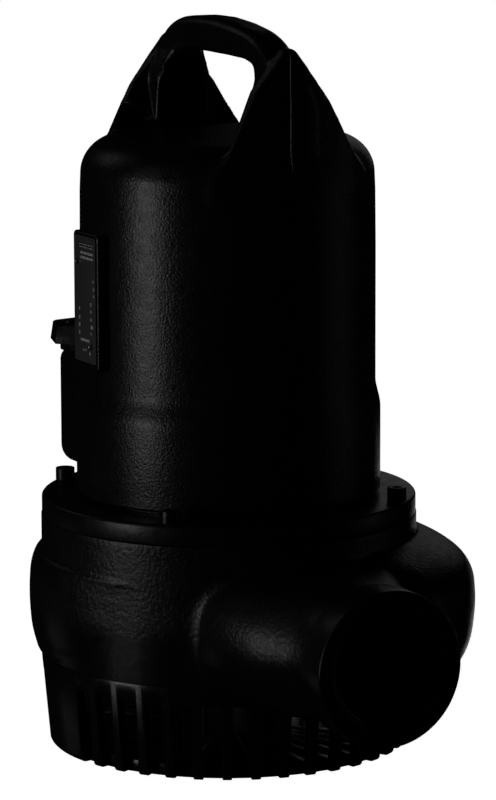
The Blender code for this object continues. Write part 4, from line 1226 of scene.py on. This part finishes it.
def mark_seam(surface):
    """The cast seam down the ridge of each gusset, as a bump."""
    ridge = surface.between(surface.size_of_axis("Y"), *SEAM_HALF_WIDTHS)
    outside = surface.between(surface.size_of_axis("X"), 86 * MM, 91 * MM)
    above = surface.between(surface.axis("Z"), 392 * MM, 402 * MM)
    surface.bump(surface.product(ridge, surface.product(outside, above)), 1.1 * MM)


def mark_pin(surface):
    """The mark of a mould's pin on the housing, as a bump."""
    inputs = {0: surface.place, 1: PIN_MARK}
    distance = surface.node("ShaderNodeVectorMath", inputs, operation="DISTANCE").outputs["Value"]
    surface.bump(surface.between(distance, *PIN_RADII), 0.6 * MM)


def cast_skin():
    """Black epoxy on the volute, coarse near its top, smooth below and on the machined hub."""
    surface = Surface("cast_skin", PAINT_BLACK, 0.42)
    dust = surface.between(surface.noise(30 * MM, 4.0), 0.45, 0.8)
    surface.colour(dust, PAINT_BLACK, PAINT_WORN)
    coarse = surface.between(surface.axis("Z"), COARSE_SKIN_BOTTOM, COARSE_SKIN_TOP, 0.08, 1.0)
    duller = surface.between(coarse, 0.08, 1.0, 0.62, 1.0)
    surface.roughness(surface.product(surface.patches(5 * MM, 5.0, 0.27, 0.4), duller))
    machined = surface.between(surface.axis("X"), 204 * MM, 207 * MM, 1.0, 0.2)
    lumps = surface.product(surface.noise(2.6 * MM, 4.0), surface.product(coarse, machined))
    surface.bump(lumps, 0.42 * MM)
    surface.bump(surface.noise(0.9 * MM, 3.0), 0.06 * MM)
    return surface


def blackened_steel():
    """Blackened steel with a fine grain and lightly rubbed patches."""
    surface = Surface("blackened_steel", (0.03, 0.03, 0.032), 0.35, 0.7)
    rubbed = surface.between(surface.noise(4 * MM, 5.0), 0.5, 0.75)
    surface.colour(rubbed, (0.022, 0.022, 0.024), (0.06, 0.06, 0.062))
    surface.roughness(surface.patches(1.5 * MM, 3.0, 0.26, 0.42))
    surface.bump(surface.noise(0.6 * MM, 3.0), 0.02 * MM)
    return surface


def plate_metal():
    """Dark plate with a fine brushed grain along its length."""
    surface = Surface("plate_dark", (0.13, 0.13, 0.135), 0.4, 0.3)
    stretch = surface.node("ShaderNodeMapping", {"Vector": surface.place, "Scale": (1, 1, 0.02)})
    grain = surface.noise(0.3 * MM, 3.0, stretch.outputs["Vector"])
    surface.colour(grain, (0.10, 0.10, 0.105), (0.17, 0.17, 0.175))
    surface.roughness(surface.between(grain, 0.2, 0.8, 0.34, 0.46))
    surface.bump(grain, 0.01 * MM)
    return surface


def bright_metal():
    """The bright rivets."""
    surface = Surface("bright_rivet", (0.75, 0.75, 0.74), 0.25, 1.0)
    surface.roughness(surface.patches(0.8 * MM, 3.0, 0.18, 0.34))
    surface.bump(surface.noise(0.5 * MM, 2.0), 0.01 * MM)
    return surface


def printed_marks():
    """The pale print of the rating plate's bars and ruled lines."""
    surface = Surface("pale_print", (0.7, 0.7, 0.7), 0.5)
    wear = surface.between(surface.noise(1.2 * MM, 4.0), 0.35, 0.7)
    surface.colour(wear, (0.92, 0.92, 0.92), (0.65, 0.65, 0.66))
    surface.bump(surface.noise(0.4 * MM, 2.0), 0.005 * MM)
    return surface


def seal_rubber():
    """Matte black rubber with a fine mould texture."""
    surface = Surface("seal_rubber", (0.012, 0.012, 0.012), 0.7)
    surface.colour(surface.noise(6 * MM, 4.0), (0.010, 0.010, 0.010), (0.022, 0.022, 0.022))
    surface.roughness(surface.patches(2 * MM, 3.0, 0.6, 0.8))
    surface.bump(surface.noise(0.4 * MM, 2.0), 0.03 * MM)
    return surface


def bare_iron():
    """Uncoated grey iron, dark and slightly rusted."""
    surface = Surface("bare_iron", (0.1, 0.095, 0.09), 0.55, 0.6)
    rust = surface.between(surface.noise(14 * MM, 6.0), 0.5, 0.75)
    surface.colour(rust, (0.085, 0.082, 0.08), (0.11, 0.065, 0.04))
    surface.roughness(surface.patches(5 * MM, 4.0, 0.45, 0.7))
    surface.bump(surface.noise(1.6 * MM, 5.0), 0.3 * MM)
    return surface


def paint_with(thing, surface):
    """Give an object one material."""
    thing.data.materials.clear()
    thing.data.materials.append(surface.material)


def show_white(thing, name):
    """Make a piece of the stage shine white for the camera alone, so that no paint mirrors it."""
    surface = Surface(name, (0.8, 0.8, 0.8), 1.0)
    surface.shader.inputs["Specular IOR Level"].default_value = 0.0
    surface.shader.inputs["Emission Color"].default_value = (1, 1, 1, 1)
    surface.shader.inputs["Emission Strength"].default_value = 1.0
    paint_with(thing, surface)
    thing.visible_glossy = False
    thing.visible_diffuse = False
    thing.visible_shadow = False


def make_floor():
    """A wide white floor."""
    signs = ((-1, -1), (1, -1), (1, 1), (-1, 1))
    corners = [(FLOOR_REACH * x, FLOOR_REACH * y, 0.0) for x, y in signs]
    floor = mesh_object("floor", corners, [(0, 1, 2, 3)])
    show_white(floor, "floor_white")


def make_backdrop():
    """A white dome over the floor, for the views that look past the floor's edge."""
    profile = arc(0.0, 0.0, FLOOR_REACH, 90, 0, 16)
    profile[0] = (0.0, profile[0][1])
    dome = turned("backdrop", profile, 64)
    show_white(dome, "backdrop_white")


def softbox(name, place, size, radiance, target):
    """A rectangular softbox that faces a target.

    Its place is an azimuth round the motor axis, a distance and a height, and its size a
    width and a height.
    """
    data = bpy.data.lights.new(name, "AREA")
    data.shape = "RECTANGLE"
    data.size, data.size_y = size
    data.energy = radiance * math.pi * size[0] * size[1]
    azimuth, distance, height = place
    light = linked(name, data)
    light.location = polar(distance, azimuth, height)
    light.rotation_euler = (Vector(target) - light.location).to_track_quat("-Z", "Y").to_euler()


def make_lights():
    """The soft light of the photograph: a panel to the left, and weak fills."""
    middle = (0, 0, 0.25)
    softbox("key", (-90, 2.2, 0.17), (0.72, 0.76), 1.9, (0, 0, 0.17))
    softbox("upper_left", (-94, 2.2, 1.35), (0.72, 1.5), 0.14, middle)
    softbox("top_left", (-150, 2.2, 1.6), (1.0, 0.8), 0.15, middle)
    softbox("low_left", (-143, 2.2, -0.65), (0.8, 0.4), 0.045, (0, 0, 0.04))
    softbox("right_fill", (68, 2.4, 0.3), (1.0, 1.6), 0.05, middle)
    softbox("wedge_light", (140, 2.4, 0.8), (0.9, 1.1), 0.12, (0.1, 0.1, 0.12))
    softbox("low_card", (138, 0.9, -0.1), (0.4, 0.26), 0.4, (0.12, 0.12, 0.1))
    world = bpy.data.worlds.new("studio")
    world.use_nodes = True
    background = world.node_tree.nodes["Background"]
    background.inputs["Color"].default_value = (1, 1, 1, 1)
    background.inputs["Strength"].default_value = 0.002
    bpy.context.scene.world = world


def make_camera():
    """The camera at the photograph's viewing angle."""
    data = bpy.data.cameras.new("camera")
    data.lens = CAMERA_LENS
    data.sensor_width = CAMERA_SENSOR
    data.clip_end = 200.0
    camera = linked("camera", data)
    camera.location = CAMERA_PLACE
    aim = Vector(CAMERA_AIM).to_track_quat("-Z", "Y").to_matrix()
    camera.rotation_euler = (aim @ Matrix.Rotation(math.radians(CAMERA_ROLL), 3, "Z")).to_euler()
    bpy.context.scene.camera = camera


def make_marks():
    """The bars and ruled lines on the rating plate, which carry no words."""
    face = -PAD_FACE - GAP - PLATE_THICKNESS
    marks = []
    for left, right, top, tall in PLATE_MARKS_MM:
        low = (left * MM, face - 0.05 * MM, (top - tall) * MM)
        high = (right * MM, face + 0.1 * MM, top * MM)
        marks.append(box("mark", low, high))
    return merged("plate_marks", marks)


def add(piece, surface, slot, *nodes):
    """Give a piece its material, and let it stand for the CAD nodes that it replaces."""
    paint_with(piece, surface)
    if nodes:
        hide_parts(*nodes)
    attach(piece, "root")


def main():
    """Make the pieces, give them their materials and set the stage."""
    make_camera()
    make_lights()
    make_floor()
    make_backdrop()
    satin, glossy = (0.26, 0.36), (0.18, 0.26)
    housing_paint = black_paint("housing_paint", (1.7 * MM, 0.22 * MM), (9 * MM, 0.15 * MM), satin)
    mark_seam(housing_paint)
    mark_pin(housing_paint)
    smooth_paint = black_paint("smooth_paint", (1.6 * MM, 0.08 * MM), (7 * MM, 0.1 * MM), satin)
    glossy_paint = black_paint("strainer_paint", (1.6 * MM, 0.05 * MM), (7 * MM, 0.06 * MM), glossy)
    steel, rubber, iron, rivet = blackened_steel(), seal_rubber(), bare_iron(), bright_metal()
    add(make_housing(), housing_paint, "rough_paint", "motor_housing", "lifting_handle")
    add(make_pad(), housing_paint, "rough_paint")
    add(make_casing(), cast_skin(), "rough_paint", "volute_casing")
    add(make_flange(), smooth_paint, "smooth_paint", "oil_chamber_cover")
    add(make_strainer(), glossy_paint, "smooth_paint", "strainer")
    add(make_entry_box(), smooth_paint, "smooth_paint", "cable_entry_box")
    add(make_cover(), smooth_paint, "smooth_paint", "cable_entry_cover")
    add(make_plate(), plate_metal(), "plate_metal", "rating_plate")
    add(make_marks(), printed_marks(), "plate_metal")
    for piece, node in make_rivets():
        add(piece, rivet, "rivet_metal", node)
    for piece, node in make_flange_screws() + make_strainer_screws() + make_cover_screws():
        add(piece, steel, "dark_steel", node)
    for piece, node in make_glands():
        seal = node.endswith("_seal")
        add(piece, rubber if seal else steel, "rubber" if seal else "dark_steel", node)
    inside = {"suction_cover": iron, "impeller": iron, "impeller_screw": steel, "pump_shaft": steel}
    for node, surface in inside.items():
        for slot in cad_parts[node].material_slots:
            slot.material = surface.material
    bpy.context.scene.view_settings.view_transform = "Standard"


main()
